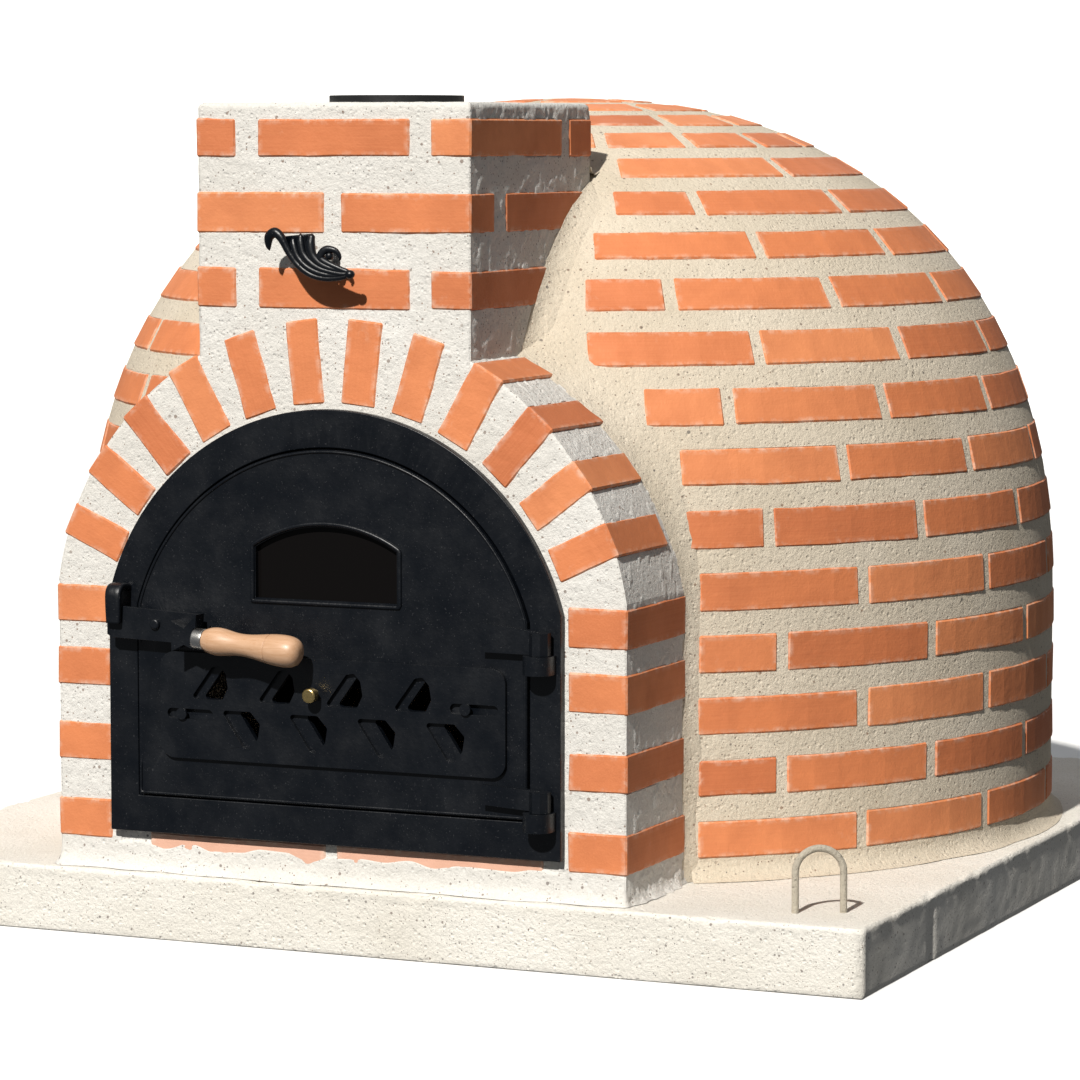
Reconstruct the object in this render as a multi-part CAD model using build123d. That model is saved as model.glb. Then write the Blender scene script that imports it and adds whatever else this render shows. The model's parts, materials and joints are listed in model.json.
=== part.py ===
from build123d import *
import math
import os

# Wood fired pizza oven: a brick-faced dome on a cast slab, with a brick arch
# facade, a short chimney with a butterfly damper and a cast iron door.
# Millimetres. Everything is laid out from the foot of the facade (front plane,
# slab top, middle) and moved on export so the origin is the middle of the
# underside of the slab, +Z up and the door on the -Y side.

SLAB_W = 1440.0
SLAB_D = 1486.0
SLAB_T = 86.0
SLAB_FRONT = -20.0
PLACE = Pos(0, -SLAB_FRONT - SLAB_D / 2, SLAB_T)

BRICK_H = 50.0
RECESS = 2.0

DOME_Y = 759.0
DOME_R = 688.0
DOME_WALL = 300.0
DOME_RISE = 706.0
DOME_POWER = 2.3
COURSE_FIRST = 28.0
COURSE_PITCH = 80.0
COURSE_H = 49.0
COURSES = 17
SLIP_T = 40.0
SHELL_T = 62.0
BRICK_L = 224.0
HEAD_JOINT = 16.0
CROWN_R = 60.0

FLOOR_Z = 56.0
HEARTH_Z = 100.0
VAULT_R = 510.0
VAULT_T = 65.0
VAULT_Z = 110.0

FACE_HALF = 404.0
FACE_ZC = 314.0
FACE_R = 409.0
NECK_END = 300.0
TUNNEL = (264.0, 272.0, 273.0)

CHIM_HALF = 193.0
CHIM_D = 381.0
CHIM_TOP = 996.0
CAP_T = 20.0
CHIM_FOOT = 640.0
FLUE_Y = 190.0
FLUE_R = 75.0
LINER_R = 87.5
LINER_WALL = 3.0
LINER_Z = (740.0, 1005.0)
COLLAR_FOOT = 885.0
DAMPER_Z = 796.0
ROD_R = 5.0

FRAME = (319.5, 52.6, 279.0, 330.0)
REBATE = (277.5, 100.5, 272.0, 288.5)
MOUTH = (255.0, 116.0, 272.0, 264.0)
SLEEVE = (263.0, 101.0, 272.0, 272.0)
LEAF = (275.0, 103.0, 272.0, 286.0)
FRAME_FRONT = -12.0
LEAF_FRONT = -14.0
LEAF_BACK = -6.0
LIP_FRONT = -2.0

PIN_X = 298.0
PIN_Y = -26.0
PIN_R = 6.0
FIT = 0.05
LUGS = ((92.0, 115.6), (288.4, 312.0))
STRAPS = ((116.0, 142.0, 121.0, 146.0), (312.4, 341.0, 313.0, 350.0))

WINDOW = (100.0, 366.0, 271.0, 189.0)
WINDOW_X = -4.0
VENT_DX = 96.0
SLIDER_BACK = -14.3
SLIDER_FRONT = -20.0
SCREWS = ((-208.0, 212.0), (194.0, 239.0))
PIVOT_X = -239.0
PIVOT_R = 4.0
LUG_X, LUG_R, EYE_R = 295.0, 19.0, 12.7
PIVOT_Z = 328.0
BAR_BACK = -27.0
BAR_FRONT = -34.0
GRIP_FROM = (-173.4, -50.0, 314.5)
GRIP_DIR = (155.0, -6.0, -11.5)


def block(x0, x1, y0, y1, z0, z1):
    return Pos((x0 + x1) / 2, (y0 + y1) / 2, (z0 + z1) / 2) * Box(x1 - x0, y1 - y0, z1 - z0)


def bar_y(x, z, r, y0, y1):
    return Pos(x, (y0 + y1) / 2, z) * Rot(90, 0, 0) * Cylinder(r, y1 - y0)


def bar_z(x, y, r, z0, z1):
    return Pos(x, y, (z0 + z1) / 2) * Cylinder(r, z1 - z0)


def drawn(face, y0, y1):
    # a face drawn in X and Z, given thickness from y0 back to y1
    plane = Plane((0, y1, 0), x_dir=(1, 0, 0), z_dir=(0, -1, 0))
    return extrude(plane * face, amount=y1 - y0)


def outline(points):
    return make_face(Polyline(*points, close=True).edges())


def arch_face(half, z0, zc, radius, x=0.0):
    spring = zc + math.sqrt(radius**2 - half**2)
    sides = Polyline((x + half, spring), (x + half, z0), (x - half, z0), (x - half, spring))
    top = ThreePointArc((x - half, spring), (x, zc + radius), (x + half, spring))
    return make_face(sides.edges() + top.edges())


def arch(shape, y0, y1, x=0.0):
    return drawn(arch_face(*shape, x=x), y0, y1)


def turned(profile, start=0.0, sweep_deg=360.0):
    # revolve an (r, z) outline about the dome's axis; start is the azimuth
    # from straight ahead of the oven, counted towards +X
    solid = revolve(Plane.XZ * profile, Axis.Z, revolution_arc=sweep_deg)
    return Pos(0, DOME_Y, 0) * Rot(0, 0, start - 90) * solid


# ---------------------------------------------------------------- dome shape

def meridian():
    pts = [(DOME_R, 0.0, 0.0)]
    power = 2 / DOME_POWER
    for i in range(721):
        u = math.radians(i / 8)
        r = DOME_R * max(math.cos(u), 0.0) ** power
        z = DOME_WALL + DOME_RISE * math.sin(u) ** power
        last = pts[-1]
        pts.append((r, z, last[2] + math.hypot(r - last[0], z - last[1])))
    return pts


MERIDIAN = meridian()
LENGTH = MERIDIAN[-1][2]


def walk(s):
    s = min(max(s, 0.0), LENGTH)
    for a, b in zip(MERIDIAN, MERIDIAN[1:]):
        if b[2] >= s and b[2] > a[2]:
            t = (s - a[2]) / (b[2] - a[2])
            return a[0] + t * (b[0] - a[0]), a[1] + t * (b[1] - a[1])
    return MERIDIAN[-1][:2]


def skin(s, depth=0.0):
    # point on the dome's outline at arc length s, sunk by depth along the normal
    (ra, za), (rb, zb) = walk(s - 4), walk(s + 4)
    span = math.hypot(rb - ra, zb - za)
    r, z = walk(s)
    return r - depth * (zb - za) / span, z + depth * (rb - ra) / span


def course_span(k):
    low = COURSE_FIRST + k * COURSE_PITCH
    return low, low + COURSE_H


def course_face(k, out=0.0):
    low, high = course_span(k)
    return outline([skin(low, SLIP_T), skin(low, out), skin(high, out), skin(high, SLIP_T)])


def crown_z(depth):
    return DOME_WALL + DOME_RISE - depth


def shell_outline():
    outer = [(DOME_R - RECESS, 0.0)]
    inner = [(DOME_R - SHELL_T, 0.0)]
    for k in range(COURSES):
        low, high = course_span(k)
        outer += [skin(low, RECESS), skin(low, SLIP_T), skin(high, SLIP_T), skin(high, RECESS)]
        inner += [skin(low, SHELL_T), skin(high, SHELL_T)]
    outer += [(CROWN_R, crown_z(RECESS)), (CROWN_R, crown_z(SLIP_T)), (0.0, crown_z(SLIP_T))]
    inner.append((0.0, crown_z(SHELL_T)))
    return outer, inner


def dome_mass():
    pts = [(0.0, 0.0), (DOME_R - RECESS, 0.0)]
    for k in range(COURSES):
        low, high = course_span(k)
        pts += [skin(low, RECESS), skin(high, RECESS)]
    pts += [(CROWN_R, crown_z(RECESS)), (0.0, crown_z(RECESS))]
    return turned(outline(pts))


def neck(grow=0.0, y0=0.0, y1=NECK_END, foot=0.0):
    return arch((FACE_HALF + grow, foot, FACE_ZC, FACE_R + grow), y0, y1)


def chimney_block(grow=0.0):
    side = CHIM_HALF + grow
    return block(-side, side, -grow, CHIM_D + grow, CHIM_FOOT, CHIM_TOP + 30)


def neck_half_width(z):
    if z >= FACE_ZC + FACE_R:
        return 0.0
    rise = max(z - FACE_ZC, 0.0)
    return min(FACE_HALF, math.sqrt(FACE_R**2 - rise**2))


def brick_free_angle(k):
    # half of the front sector kept free of bricks by the neck and the chimney
    low, high = course_span(k)
    r, z = walk((low + high) / 2)
    fillet = 12.0
    if z > 500:
        fillet = 40.0 + 30.0 * max(0.0, 1 - abs(z - 670) / 120)
    half = neck_half_width(z)
    if z > 560:
        half = max(half, CHIM_HALF)
    behind = DOME_Y - CHIM_D - 45.0
    if r <= behind:
        return 0.0
    angle = math.degrees(math.asin(min(1.0, (half + fillet) / r)))
    if z > 720:
        angle = min(angle, math.degrees(math.acos(behind / r)))
    return angle


def course_bricks(k):
    # start and end azimuths of the bricks of one course, in running bond
    low, high = course_span(k)
    r = walk((low + high) / 2)[0]
    length = BRICK_L if r > 340 else BRICK_L / 2 - 6
    free = brick_free_angle(k)
    joint = math.degrees(HEAD_JOINT / r)
    span = 360.0 - 2 * free
    closed = free == 0.0
    count = max(4, round(span * math.radians(1) * r / (length + HEAD_JOINT)))
    pitch = (span + (0.0 if closed else joint)) / count
    if closed:
        shift = pitch / 2 * (k % 2)
        return [(shift + i * pitch, shift + (i + 1) * pitch - joint) for i in range(count)]
    if k % 2 == 0:
        return [(free + i * pitch, free + (i + 1) * pitch - joint) for i in range(count)]
    cuts = [free] + [free + (i + 0.5) * pitch for i in range(count)] + [free + count * pitch]
    return [(a, b - joint) for a, b in zip(cuts, cuts[1:])]


def dome_bricks(k):
    face = course_face(k)
    bricks = [turned(face, a, b - a) for a, b in course_bricks(k)]
    if brick_free_angle(k) > 0:
        # the bricks beside the neck are cut to it
        for i in (0, -1):
            bricks[i] = bricks[i] - neck(0.2, -5, NECK_END + 0.2, -1) - chimney_block(0.3)
    return bricks


def dome_head_joints(k):
    face = course_face(k, RECESS)
    spans = course_bricks(k)
    joints = [turned(face, a[1], b[0] - a[1]) for a, b in zip(spans, spans[1:])]
    first, last = spans[0][0] + 360, spans[-1][1]
    ends = turned(face, last, first - last)
    if brick_free_angle(k) > 0:
        ends = ends - neck(0.2, -5, NECK_END + 0.2, -1) - chimney_block(0.3)
    return joints + ends.solids()


def dome_shell():
    outer, inner = shell_outline()
    ring = turned(outline(outer + inner[::-1]))
    return ring - neck(0.2, -5, NECK_END + 0.2, -1) - chimney_block(0.3)


def dome_insulation():
    inner = shell_outline()[1]
    hot = VAULT_R + VAULT_T
    tilt = math.radians(45)
    mid = (hot * math.cos(tilt), VAULT_Z + hot * math.sin(tilt))
    edges = Polyline((hot, VAULT_Z), (hot, 0.0), *inner, (0.0, VAULT_Z + hot)).edges()
    edges += ThreePointArc((0.0, VAULT_Z + hot), mid, (hot, VAULT_Z)).edges()
    return turned(make_face(edges)) - neck(0.2, -5, NECK_END + 0.2, -1) - chimney_block(0.3)


def dome_fillets():
    # mortar run into the corners between dome, neck and chimney
    start = 165.0
    plane = Plane((0, start, 0), x_dir=(1, 0, 0), z_dir=(0, 1, 0))
    face = arch_face(FACE_HALF + 0.2, -160.0, FACE_ZC, FACE_R + 0.2)
    flipped = plane * Rot(0, 0, 180) * mirror(face, Plane.YZ)
    side = extrude(flipped, amount=135.0, taper=-11)
    spread = Pos(0, CHIM_D / 2, 700.0) * Rectangle(2 * CHIM_HALF + 72, CHIM_D + 72)
    mass = dome_mass()
    swollen = Pos(0, DOME_Y, 0) * scale(Pos(0, -DOME_Y, 0) * mass, by=1.035)
    collar = extrude(spread, amount=225.0, taper=7) & swollen
    strips = (side & block(-700, 700, start, 600, 0, 900)) + collar
    strips = strips - mass - neck(0.2, -5, NECK_END + 0.2, -200) - chimney_block(0.3)
    beside = []
    for k in range(9):
        bricks = dome_bricks(k)
        beside += bricks[:2] + bricks[-2:]
    return strips - beside


def dome_skirt():
    start = math.degrees(math.asin((FACE_HALF + 14) / DOME_R))
    foot = outline([(DOME_R - RECESS, 0.0), (DOME_R + 22.0, 0.0), (DOME_R - RECESS, 24.0)])
    return turned(foot, start, 360 - 2 * start)


def crown_brick():
    disc = outline([(0, crown_z(SLIP_T)), (CROWN_R, crown_z(SLIP_T)), (CROWN_R, crown_z(0)), (0, crown_z(0))])
    return turned(disc)


# ------------------------------------------------------- slab, floor, vault

def lifting_loop():
    half, leg, embed, wire = 30.0, 50.0, 50.0, 4.5
    up = Line((-half, 0, -embed), (-half, 0, leg))
    over = ThreePointArc((-half, 0, leg), (0, 0, leg + half), (half, 0, leg))
    down = Line((half, 0, leg), (half, 0, -embed))
    path = Wire(up.edges() + over.edges() + down.edges())
    return sweep(Plane((-half, 0, -embed), z_dir=(0, 0, 1)) * Circle(wire), path=path)


def loop_spots():
    mid = SLAB_FRONT + SLAB_D / 2
    spots = []
    for sx in (1, -1):
        for sy in (1, -1):
            spots.append(Pos(633 * sx, mid - 655.5 * sy, 0) * Rot(0, 0, 28.0 * sx * sy))
    return spots


def base_slab():
    body = block(-SLAB_W / 2, SLAB_W / 2, SLAB_FRONT, SLAB_FRONT + SLAB_D, -SLAB_T, 0)
    body = chamfer(body.edges(), 4.0)
    for spot in loop_spots():
        for x in (-30.0, 30.0):
            body -= spot * bar_z(x, 0, 4.7, -50.0, 5.0)
    return body


def vault_face():
    tilt = math.radians(45)
    inner, outer = VAULT_R, VAULT_R + VAULT_T
    lines = Polyline((inner, VAULT_Z), (inner, FLOOR_Z), (outer, FLOOR_Z), (outer, VAULT_Z))
    mid_out = (outer * math.cos(tilt), VAULT_Z + outer * math.sin(tilt))
    mid_in = (inner * math.cos(tilt), VAULT_Z + inner * math.sin(tilt))
    over = ThreePointArc((outer, VAULT_Z), mid_out, (0, VAULT_Z + outer))
    crown = Line((0, VAULT_Z + outer), (0, VAULT_Z + inner))
    under = ThreePointArc((0, VAULT_Z + inner), mid_in, (inner, VAULT_Z))
    return make_face(lines.edges() + over.edges() + crown.edges() + under.edges())


def tunnel(y0, y1, grow=0.0):
    half, zc, radius = TUNNEL
    return arch((half + grow, FLOOR_Z, zc, radius + grow), y0, y1)


def vault_quarter(start):
    return turned(vault_face(), start, 90.0)


def vault_mass():
    outer = VAULT_R + VAULT_T
    ball = Pos(0, DOME_Y, VAULT_Z) * Sphere(outer)
    drum = bar_z(0, DOME_Y, outer, 0, VAULT_Z)
    return ball + drum


def hearth_tiles():
    clip = bar_z(0, DOME_Y, VAULT_R - 3, FLOOR_Z, HEARTH_Z)
    clip += block(-262, 262, 4, 500, FLOOR_Z, HEARTH_Z)
    size, gap = 240.0, 2.0
    tiles = []
    for i in range(-3, 3):
        for j in range(6):
            x0 = i * (size + gap) + gap / 2
            y0 = 4 + j * (size + gap)
            tile = block(x0, x0 + size, y0, y0 + size, FLOOR_Z, HEARTH_Z) & clip
            tiles += [s for s in tile.solids() if s.volume > 2.0e4]
    return tiles


# ----------------------------------------------------------- facade, chimney

def column_bricks():
    levels = (39.0, 140.4, 239.0, 320.4)
    inner = FRAME[0] + 5
    bricks = []
    for z in levels:
        for sx in (1, -1):
            x0, x1 = sorted((sx * inner, sx * FACE_HALF))
            bricks.append(block(x0, x1, 0, 195, z, z + BRICK_H))
    return bricks


def voussoirs():
    count, first, last, width, depth = 12, 25.0, 155.0, 46.0, 165.0
    centre = FRAME[2]
    near = FRAME[3] + 6
    lift = FACE_ZC - centre
    bricks = []
    for i in range(count):
        a = math.radians(first + (last - first) * i / (count - 1))
        far = lift * math.sin(a) + math.sqrt(FACE_R**2 - (lift * math.cos(a)) ** 2) - 1.0
        stone = block(near, far, 0, depth, -width / 2, width / 2)
        bricks.append(Pos(0, 0, centre) * Rot(0, -math.degrees(a), 0) * stone)
    return bricks


def sill_bricks():
    return [block(-268, -14, 3, 115, 3, 51), block(2, 290, 3, 115, 3, 51)]


def frame_anchors():
    anchors = []
    for z in (160.0, 300.0):
        for sx in (1, -1):
            x0, x1 = sorted((sx * SLEEVE[0], sx * 308.0))
            anchors.append(block(x0, x1, 30, 35, z, z + 26))
    return anchors


def facade_core():
    body = neck(-RECESS, 3.0, NECK_END)
    body -= tunnel(-5, NECK_END + 5)
    body -= vault_mass()
    body -= bar_z(0, FLUE_Y, FLUE_R, 450, 800)
    return body - column_bricks() - voussoirs() - sill_bricks() - frame_anchors()


def chimney_bricks():
    # rows 1 and 3 have a stretcher between two corner bricks, row 2 is offset
    t = 42.0
    bricks = []
    for row, z in enumerate((735.7, 831.2, 925.4)):
        top = z + BRICK_H
        if row != 1:
            bricks.append(block(-105, 108, 0, t, z, top))
            corner, side_end, side_next = 137.0, 285.0, 310.0
        else:
            corner, side_end, side_next = 12.0, 72.0, 108.0
        for sx in (1, -1):
            x0, x1 = sorted((sx * corner, sx * CHIM_HALF))
            x2 = sx * (CHIM_HALF - t)
            x2, x3 = sorted((x2, sx * CHIM_HALF))
            bricks.append(block(x0, x1, 0, t, z, top) + block(x2, x3, 0, side_end, z, top))
            rear = block(x2, x3, side_next, CHIM_D, z, top)
            if row == 2:
                rear += block(x0, x1, CHIM_D - t, CHIM_D, z, top)
            bricks.append(rear)
        if row == 2:
            bricks.append(block(-107, 107, CHIM_D - t, CHIM_D, z, top))
    return bricks


def damper_hole(r, y0, y1):
    return bar_y(0, DAMPER_Z, r, y0, y1)


def chimney_core():
    side = CHIM_HALF - RECESS
    body = block(-side, side, 3, CHIM_D - RECESS, CHIM_FOOT, CHIM_TOP - CAP_T)
    body -= neck(-RECESS + 0.3, -5, NECK_END)
    body -= bar_z(0, FLUE_Y, FLUE_R, 400, 800)
    body -= bar_z(0, FLUE_Y, LINER_R + 0.3, LINER_Z[0], 1100)
    body -= damper_hole(6.5, -5, FLUE_Y)
    body -= damper_hole(8.1, -5, 31) + damper_hole(8.1, FLUE_Y, 310)
    return body - chimney_bricks() - voussoirs()


def chimney_cap():
    side = CHIM_HALF - 1
    body = block(-side, side, 1, CHIM_D - 1, CHIM_TOP - CAP_T, CHIM_TOP)
    body = fillet(body.edges().group_by(Axis.Z)[-1], 6.0)
    return body - bar_z(0, FLUE_Y, LINER_R + 0.3, 900, 1100)


def flue_liner():
    # thicker than the collar, so that a pipe rests on its rim above the damper
    tube = bar_z(0, FLUE_Y, LINER_R, LINER_Z[0], COLLAR_FOOT) - bar_z(0, FLUE_Y, LINER_R - 5.5, 700, 1100)
    return tube - damper_hole(6.5, 90, 290)


def flue_collar():
    return bar_z(0, FLUE_Y, LINER_R, COLLAR_FOOT, LINER_Z[1]) - bar_z(0, FLUE_Y, LINER_R - LINER_WALL, 700, 1100)


# -------------------------------------------------------------------- damper

def damper_bushes():
    front = damper_hole(8, 0, 30) + damper_hole(11, -3, 0) - damper_hole(ROD_R + FIT, -5, 35)
    rear = damper_hole(8, 279, 310) - damper_hole(ROD_R + FIT, 270, 302)
    return [front, rear]


def damper_rod():
    return damper_hole(ROD_R, -30, 300)


def damper_plate():
    disc = bar_z(0, FLUE_Y, 80, DAMPER_Z + ROD_R, DAMPER_Z + ROD_R + 3)
    for y in (FLUE_Y - 45, FLUE_Y + 45):
        disc += block(-10, 10, y - 10, y + 10, DAMPER_Z, DAMPER_Z + ROD_R)
    return disc - damper_hole(ROD_R, 50, 350)


def damper_handle():
    pts = [(-75, 815), (-64, 838), (-45, 829), (-22, 830), (-2, 822), (24, 806), (48, 783)]
    pts += [(42, 774), (14, 772), (-14, 779), (-38, 793), (-58, 806)]
    edge = Spline(*pts, periodic=True)
    leaf = drawn(make_face(edge.edges()), -41, -34)
    return leaf + damper_hole(10, -41, -30)


# ---------------------------------------------------------------- door frame

def door_frame():
    body = arch(FRAME, FRAME_FRONT, 0) - arch(REBATE, -20, 5)
    wide = (REBATE[0] + 2, REBATE[1] - 2, REBATE[2], REBATE[3] + 2)
    body += arch(wide, LIP_FRONT, 3) - arch(MOUTH, -20, 5)
    body += arch(SLEEVE, 3, 62) - arch(MOUTH, 0, 70)
    return body


def hinge_knuckles():
    lugs = []
    for low, high in LUGS:
        # round cups standing out of the frame
        lug = bar_z(LUG_X, PIN_Y, LUG_R, low, high) + block(LUG_X - 13, LUG_X + LUG_R, PIN_Y, -10, low, high)
        lug &= block(200, 400, -80, FRAME_FRONT, low, high)
        lugs.append(lug - bar_z(PIN_X, PIN_Y, PIN_R + 0.01, low + 4, high + 1))
    return lugs


def hinge_pins():
    pins = []
    for (low, high), (s0, s1, w0, w1) in zip(LUGS, STRAPS):
        pins.append(bar_z(PIN_X, PIN_Y, PIN_R, low + 4, s1 - 3))
    return pins


def latch_keeper():
    hook = block(-308, -286, -44, FRAME_FRONT, 368, 378)
    hook += block(-308, -286, -44, -36, 327, 369)
    return hook


# ---------------------------------------------------------------------- door

def rounded(points):
    return fillet(make_face(Polyline(*points, close=True).edges()).vertices(), 4.0)


def upper_vent(x, z):
    # straight slope and sill, swelling to the right
    spots = ((-26, -22), (20, -22), (28, -6), (25, 12), (16, 22), (5, 20))
    return rounded([(x + a, z + b) for a, b in spots])


def lower_vent(x, z):
    # flat top, rounded shoulder and a narrow foot
    spots = ((-28, 22), (14, 22), (28, 7), (25, -12), (12, -27), (3, -24))
    return rounded([(x + a, z + b) for a, b in spots])


def vents(upper_shift, lower_shift):
    holes = []
    for i in range(4):
        holes.append(upper_vent(-170 + VENT_DX * i + upper_shift, 254))
        holes.append(lower_vent(-124 + VENT_DX * i + lower_shift, 197))
    return holes


def door_leaf():
    body = arch(LEAF, LEAF_FRONT, LEAF_BACK) - arch(WINDOW, -20, 0, WINDOW_X)
    for hole in vents(15, 22):
        body -= drawn(hole, -20, 0)
    body += bar_y(PIVOT_X, PIVOT_Z, 10, -26.6, LEAF_FRONT)
    body -= bar_y(PIVOT_X, PIVOT_Z, PIVOT_R + 0.02, -30, -8)
    for x, z in SCREWS:
        body -= bar_y(x, z, 4.02, -20, -8)
    for x, z in retainer_spots():
        body -= bar_y(x, z, 2.52, -11, 0)
    return body


def hinge_straps():
    straps = []
    for s0, s1, w0, w1 in STRAPS:
        face = outline([(218, w0), (PIN_X, s0), (PIN_X, s1), (218, w1)])
        eye = Pos(PIN_X, PIN_Y, s0) * extrude(RegularPolygon(EYE_R, 8, major_radius=False, rotation=22.5), s1 - s0)
        plate = drawn(face, -25, LEAF_FRONT) + eye
        straps.append(plate - bar_z(PIN_X, PIN_Y, PIN_R + FIT, s0 - 2, s1 - 2.5))
    return straps


def retainer_spots():
    return [(WINDOW_X + sx * 119, z) for sx in (1, -1) for z in (372, 424)]


def window_glass():
    return arch((111, 355, 271, 199), LEAF_BACK, -2, WINDOW_X)


def window_retainer():
    body = arch((127, 347, 271, 209), -2, 1, WINDOW_X) - arch((93, 373, 271, 181), -5, 5, WINDOW_X)
    for x, z in retainer_spots():
        body -= bar_y(x, z, 3, -5, 5)
    return body


def retainer_screws():
    return [bar_y(x, z, 2.5, -11, 1) + bar_y(x, z, 5, 1, 4) for x, z in retainer_spots()]


def rope_seal():
    return arch((270, 105, 272, 281), LEAF_BACK, -2.4) - arch((261, 113, 272, 271), -8, 0)


def slider_plate():
    body = drawn(Pos(4, 223) * RectangleRounded(488, 138, 20), SLIDER_FRONT, SLIDER_BACK)
    for hole in vents(0, 0):
        body -= drawn(hole, -30, 0)
    for x, z in SCREWS:
        body -= drawn(Pos(x + 11, z) * SlotOverall(66, 13), -30, 0)
    return body


def slider_screws():
    return [bar_y(x, z, 4, -20.3, -8) + bar_y(x, z, 7.5, -24, -20.3) for x, z in SCREWS]


def slider_knob():
    knob = bar_y(-17, 247, 5, -27, SLIDER_FRONT) + fillet(bar_y(-17, 247, 9.5, -40, -27).edges(), 3)
    return knob


def latch_bar():
    bar = [(-310, 312), (-310, 350), (-279, 348.5), (-174, 343), (-174, 302), (-213, 305), (-304, 308)]
    return drawn(outline(bar), BAR_FRONT, BAR_BACK) - bar_y(PIVOT_X, PIVOT_Z, PIVOT_R + FIT, -50, 0)


def latch_pivot():
    head = fillet(bar_y(PIVOT_X, PIVOT_Z, 7, -39, -34.4).edges().group_by(Axis.Y)[0], 3)
    return head + bar_y(PIVOT_X, PIVOT_Z, PIVOT_R, -34.4, -8)


def along_grip(shape):
    # local Z runs down the handle from its ferrule
    return Plane(GRIP_FROM, z_dir=GRIP_DIR).location * shape


def handle_bracket():
    bow = [(-204, 297), (-204, 336), (-186, 327), (-168, 345), (-171, 300), (-186, 306)]
    plate = drawn(outline(bow), -56, BAR_FRONT)
    return plate - along_grip(Pos(0, 0, 50) * Cylinder(14.5, 100)) - along_grip(Cylinder(4, 200))


def handle_ferrule():
    ring = fillet(Cylinder(13.6, 16).edges(), 2.5) - Cylinder(4, 20)
    return along_grip(Pos(0, 0, 8) * ring)


def handle_tang():
    return along_grip(Pos(0, 0, 45) * Cylinder(4, 110))


def handle_grip():
    body = Spline((13, 16), (17.9, 34), (14.6, 62), (18.9, 110), (20.5, 130), (16, 150), (5, 155.5))
    rest = Polyline((5, 155.5), (0, 155.5), (0, 100), (4, 100), (4, 16), (13, 16))
    solid = revolve(Plane.XZ * make_face(body.edges() + rest.edges()), Axis.Z)
    groove = Cylinder(24, 0.9) - Cylinder(18.3, 0.9)
    return along_grip(solid - Pos(0, 0, 110) * groove)


# -------------------------------------------------------------------- export

def save(name, shapes):
    group = shapes if isinstance(shapes, list) else [shapes]
    solids = [PLACE * solid for shape in group for solid in shape.solids()]
    body = solids[0] if len(solids) == 1 else Compound(solids)
    export_step(body, f"parts/{name}.step")


def main():
    os.makedirs("parts", exist_ok=True)
    save("base_slab", base_slab())
    save("lifting_loops", [spot * lifting_loop() for spot in loop_spots()])
    save("floor_insulation", bar_z(0, DOME_Y, VAULT_R + VAULT_T, 0, FLOOR_Z))
    save("hearth_tiles", hearth_tiles())
    save("vault_front", vault_quarter(-45) - tunnel(-5, DOME_Y))
    for name, start in (("right", 45), ("back", 135), ("left", 225)):
        save(f"vault_{name}", vault_quarter(start))
    save("dome_insulation", dome_insulation())
    save("dome_mortar_shell", dome_shell())
    save("dome_head_joints", [j for k in range(COURSES) for j in dome_head_joints(k)])
    save("dome_fillets", dome_fillets())
    save("dome_skirt", dome_skirt())
    for band in range(6):
        rows = range(3 * band, min(3 * band + 3, COURSES))
        save(f"dome_bricks_{band + 1}", [b for k in rows for b in dome_bricks(k)])
    save("crown_brick", crown_brick())
    save("facade_core", facade_core())
    save("column_bricks", column_bricks())
    save("arch_bricks", voussoirs())
    save("sill_bricks", sill_bricks())
    save("chimney_core", chimney_core())
    save("chimney_bricks", chimney_bricks())
    save("chimney_cap", chimney_cap())
    save("flue_liner", flue_liner())
    save("flue_collar", flue_collar())
    save("damper_bushes", damper_bushes())
    save("damper_rod", damper_rod())
    save("damper_plate", damper_plate())
    save("damper_handle", damper_handle())
    save("door_frame", door_frame())
    save("hinge_knuckles", hinge_knuckles())
    save("frame_anchors", frame_anchors())
    save("hinge_pins", hinge_pins())
    save("latch_keeper", latch_keeper())
    save("door_leaf", door_leaf())
    save("hinge_straps", hinge_straps())
    save("window_glass", window_glass())
    save("window_retainer", window_retainer())
    save("retainer_screws", retainer_screws())
    save("rope_seal", rope_seal())
    save("slider_plate", slider_plate())
    save("slider_screws", slider_screws())
    save("slider_knob", slider_knob())
    save("latch_bar", latch_bar())
    save("latch_pivot", latch_pivot())
    save("handle_bracket", handle_bracket())
    save("handle_ferrule", handle_ferrule())
    save("handle_tang", handle_tang())
    save("handle_grip", handle_grip())


main()
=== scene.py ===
import itertools
import json
import math

import bmesh
import bpy
import numpy as np
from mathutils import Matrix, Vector


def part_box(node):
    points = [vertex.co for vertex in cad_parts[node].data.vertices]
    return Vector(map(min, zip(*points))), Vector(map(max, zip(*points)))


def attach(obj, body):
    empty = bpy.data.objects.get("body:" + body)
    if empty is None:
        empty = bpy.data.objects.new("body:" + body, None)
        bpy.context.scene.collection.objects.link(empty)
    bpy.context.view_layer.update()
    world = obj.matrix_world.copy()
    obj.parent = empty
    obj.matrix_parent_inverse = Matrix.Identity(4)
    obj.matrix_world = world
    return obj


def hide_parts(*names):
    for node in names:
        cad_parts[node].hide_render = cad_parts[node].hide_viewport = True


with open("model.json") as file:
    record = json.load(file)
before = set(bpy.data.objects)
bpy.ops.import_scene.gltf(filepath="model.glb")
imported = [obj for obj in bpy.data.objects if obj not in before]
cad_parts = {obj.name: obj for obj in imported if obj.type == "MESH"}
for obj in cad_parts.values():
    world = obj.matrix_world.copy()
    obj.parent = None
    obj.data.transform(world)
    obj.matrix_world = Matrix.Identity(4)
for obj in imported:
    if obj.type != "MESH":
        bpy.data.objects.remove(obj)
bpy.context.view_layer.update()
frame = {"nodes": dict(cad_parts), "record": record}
cadNodes = frame["nodes"]
mm = 0.001

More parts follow.
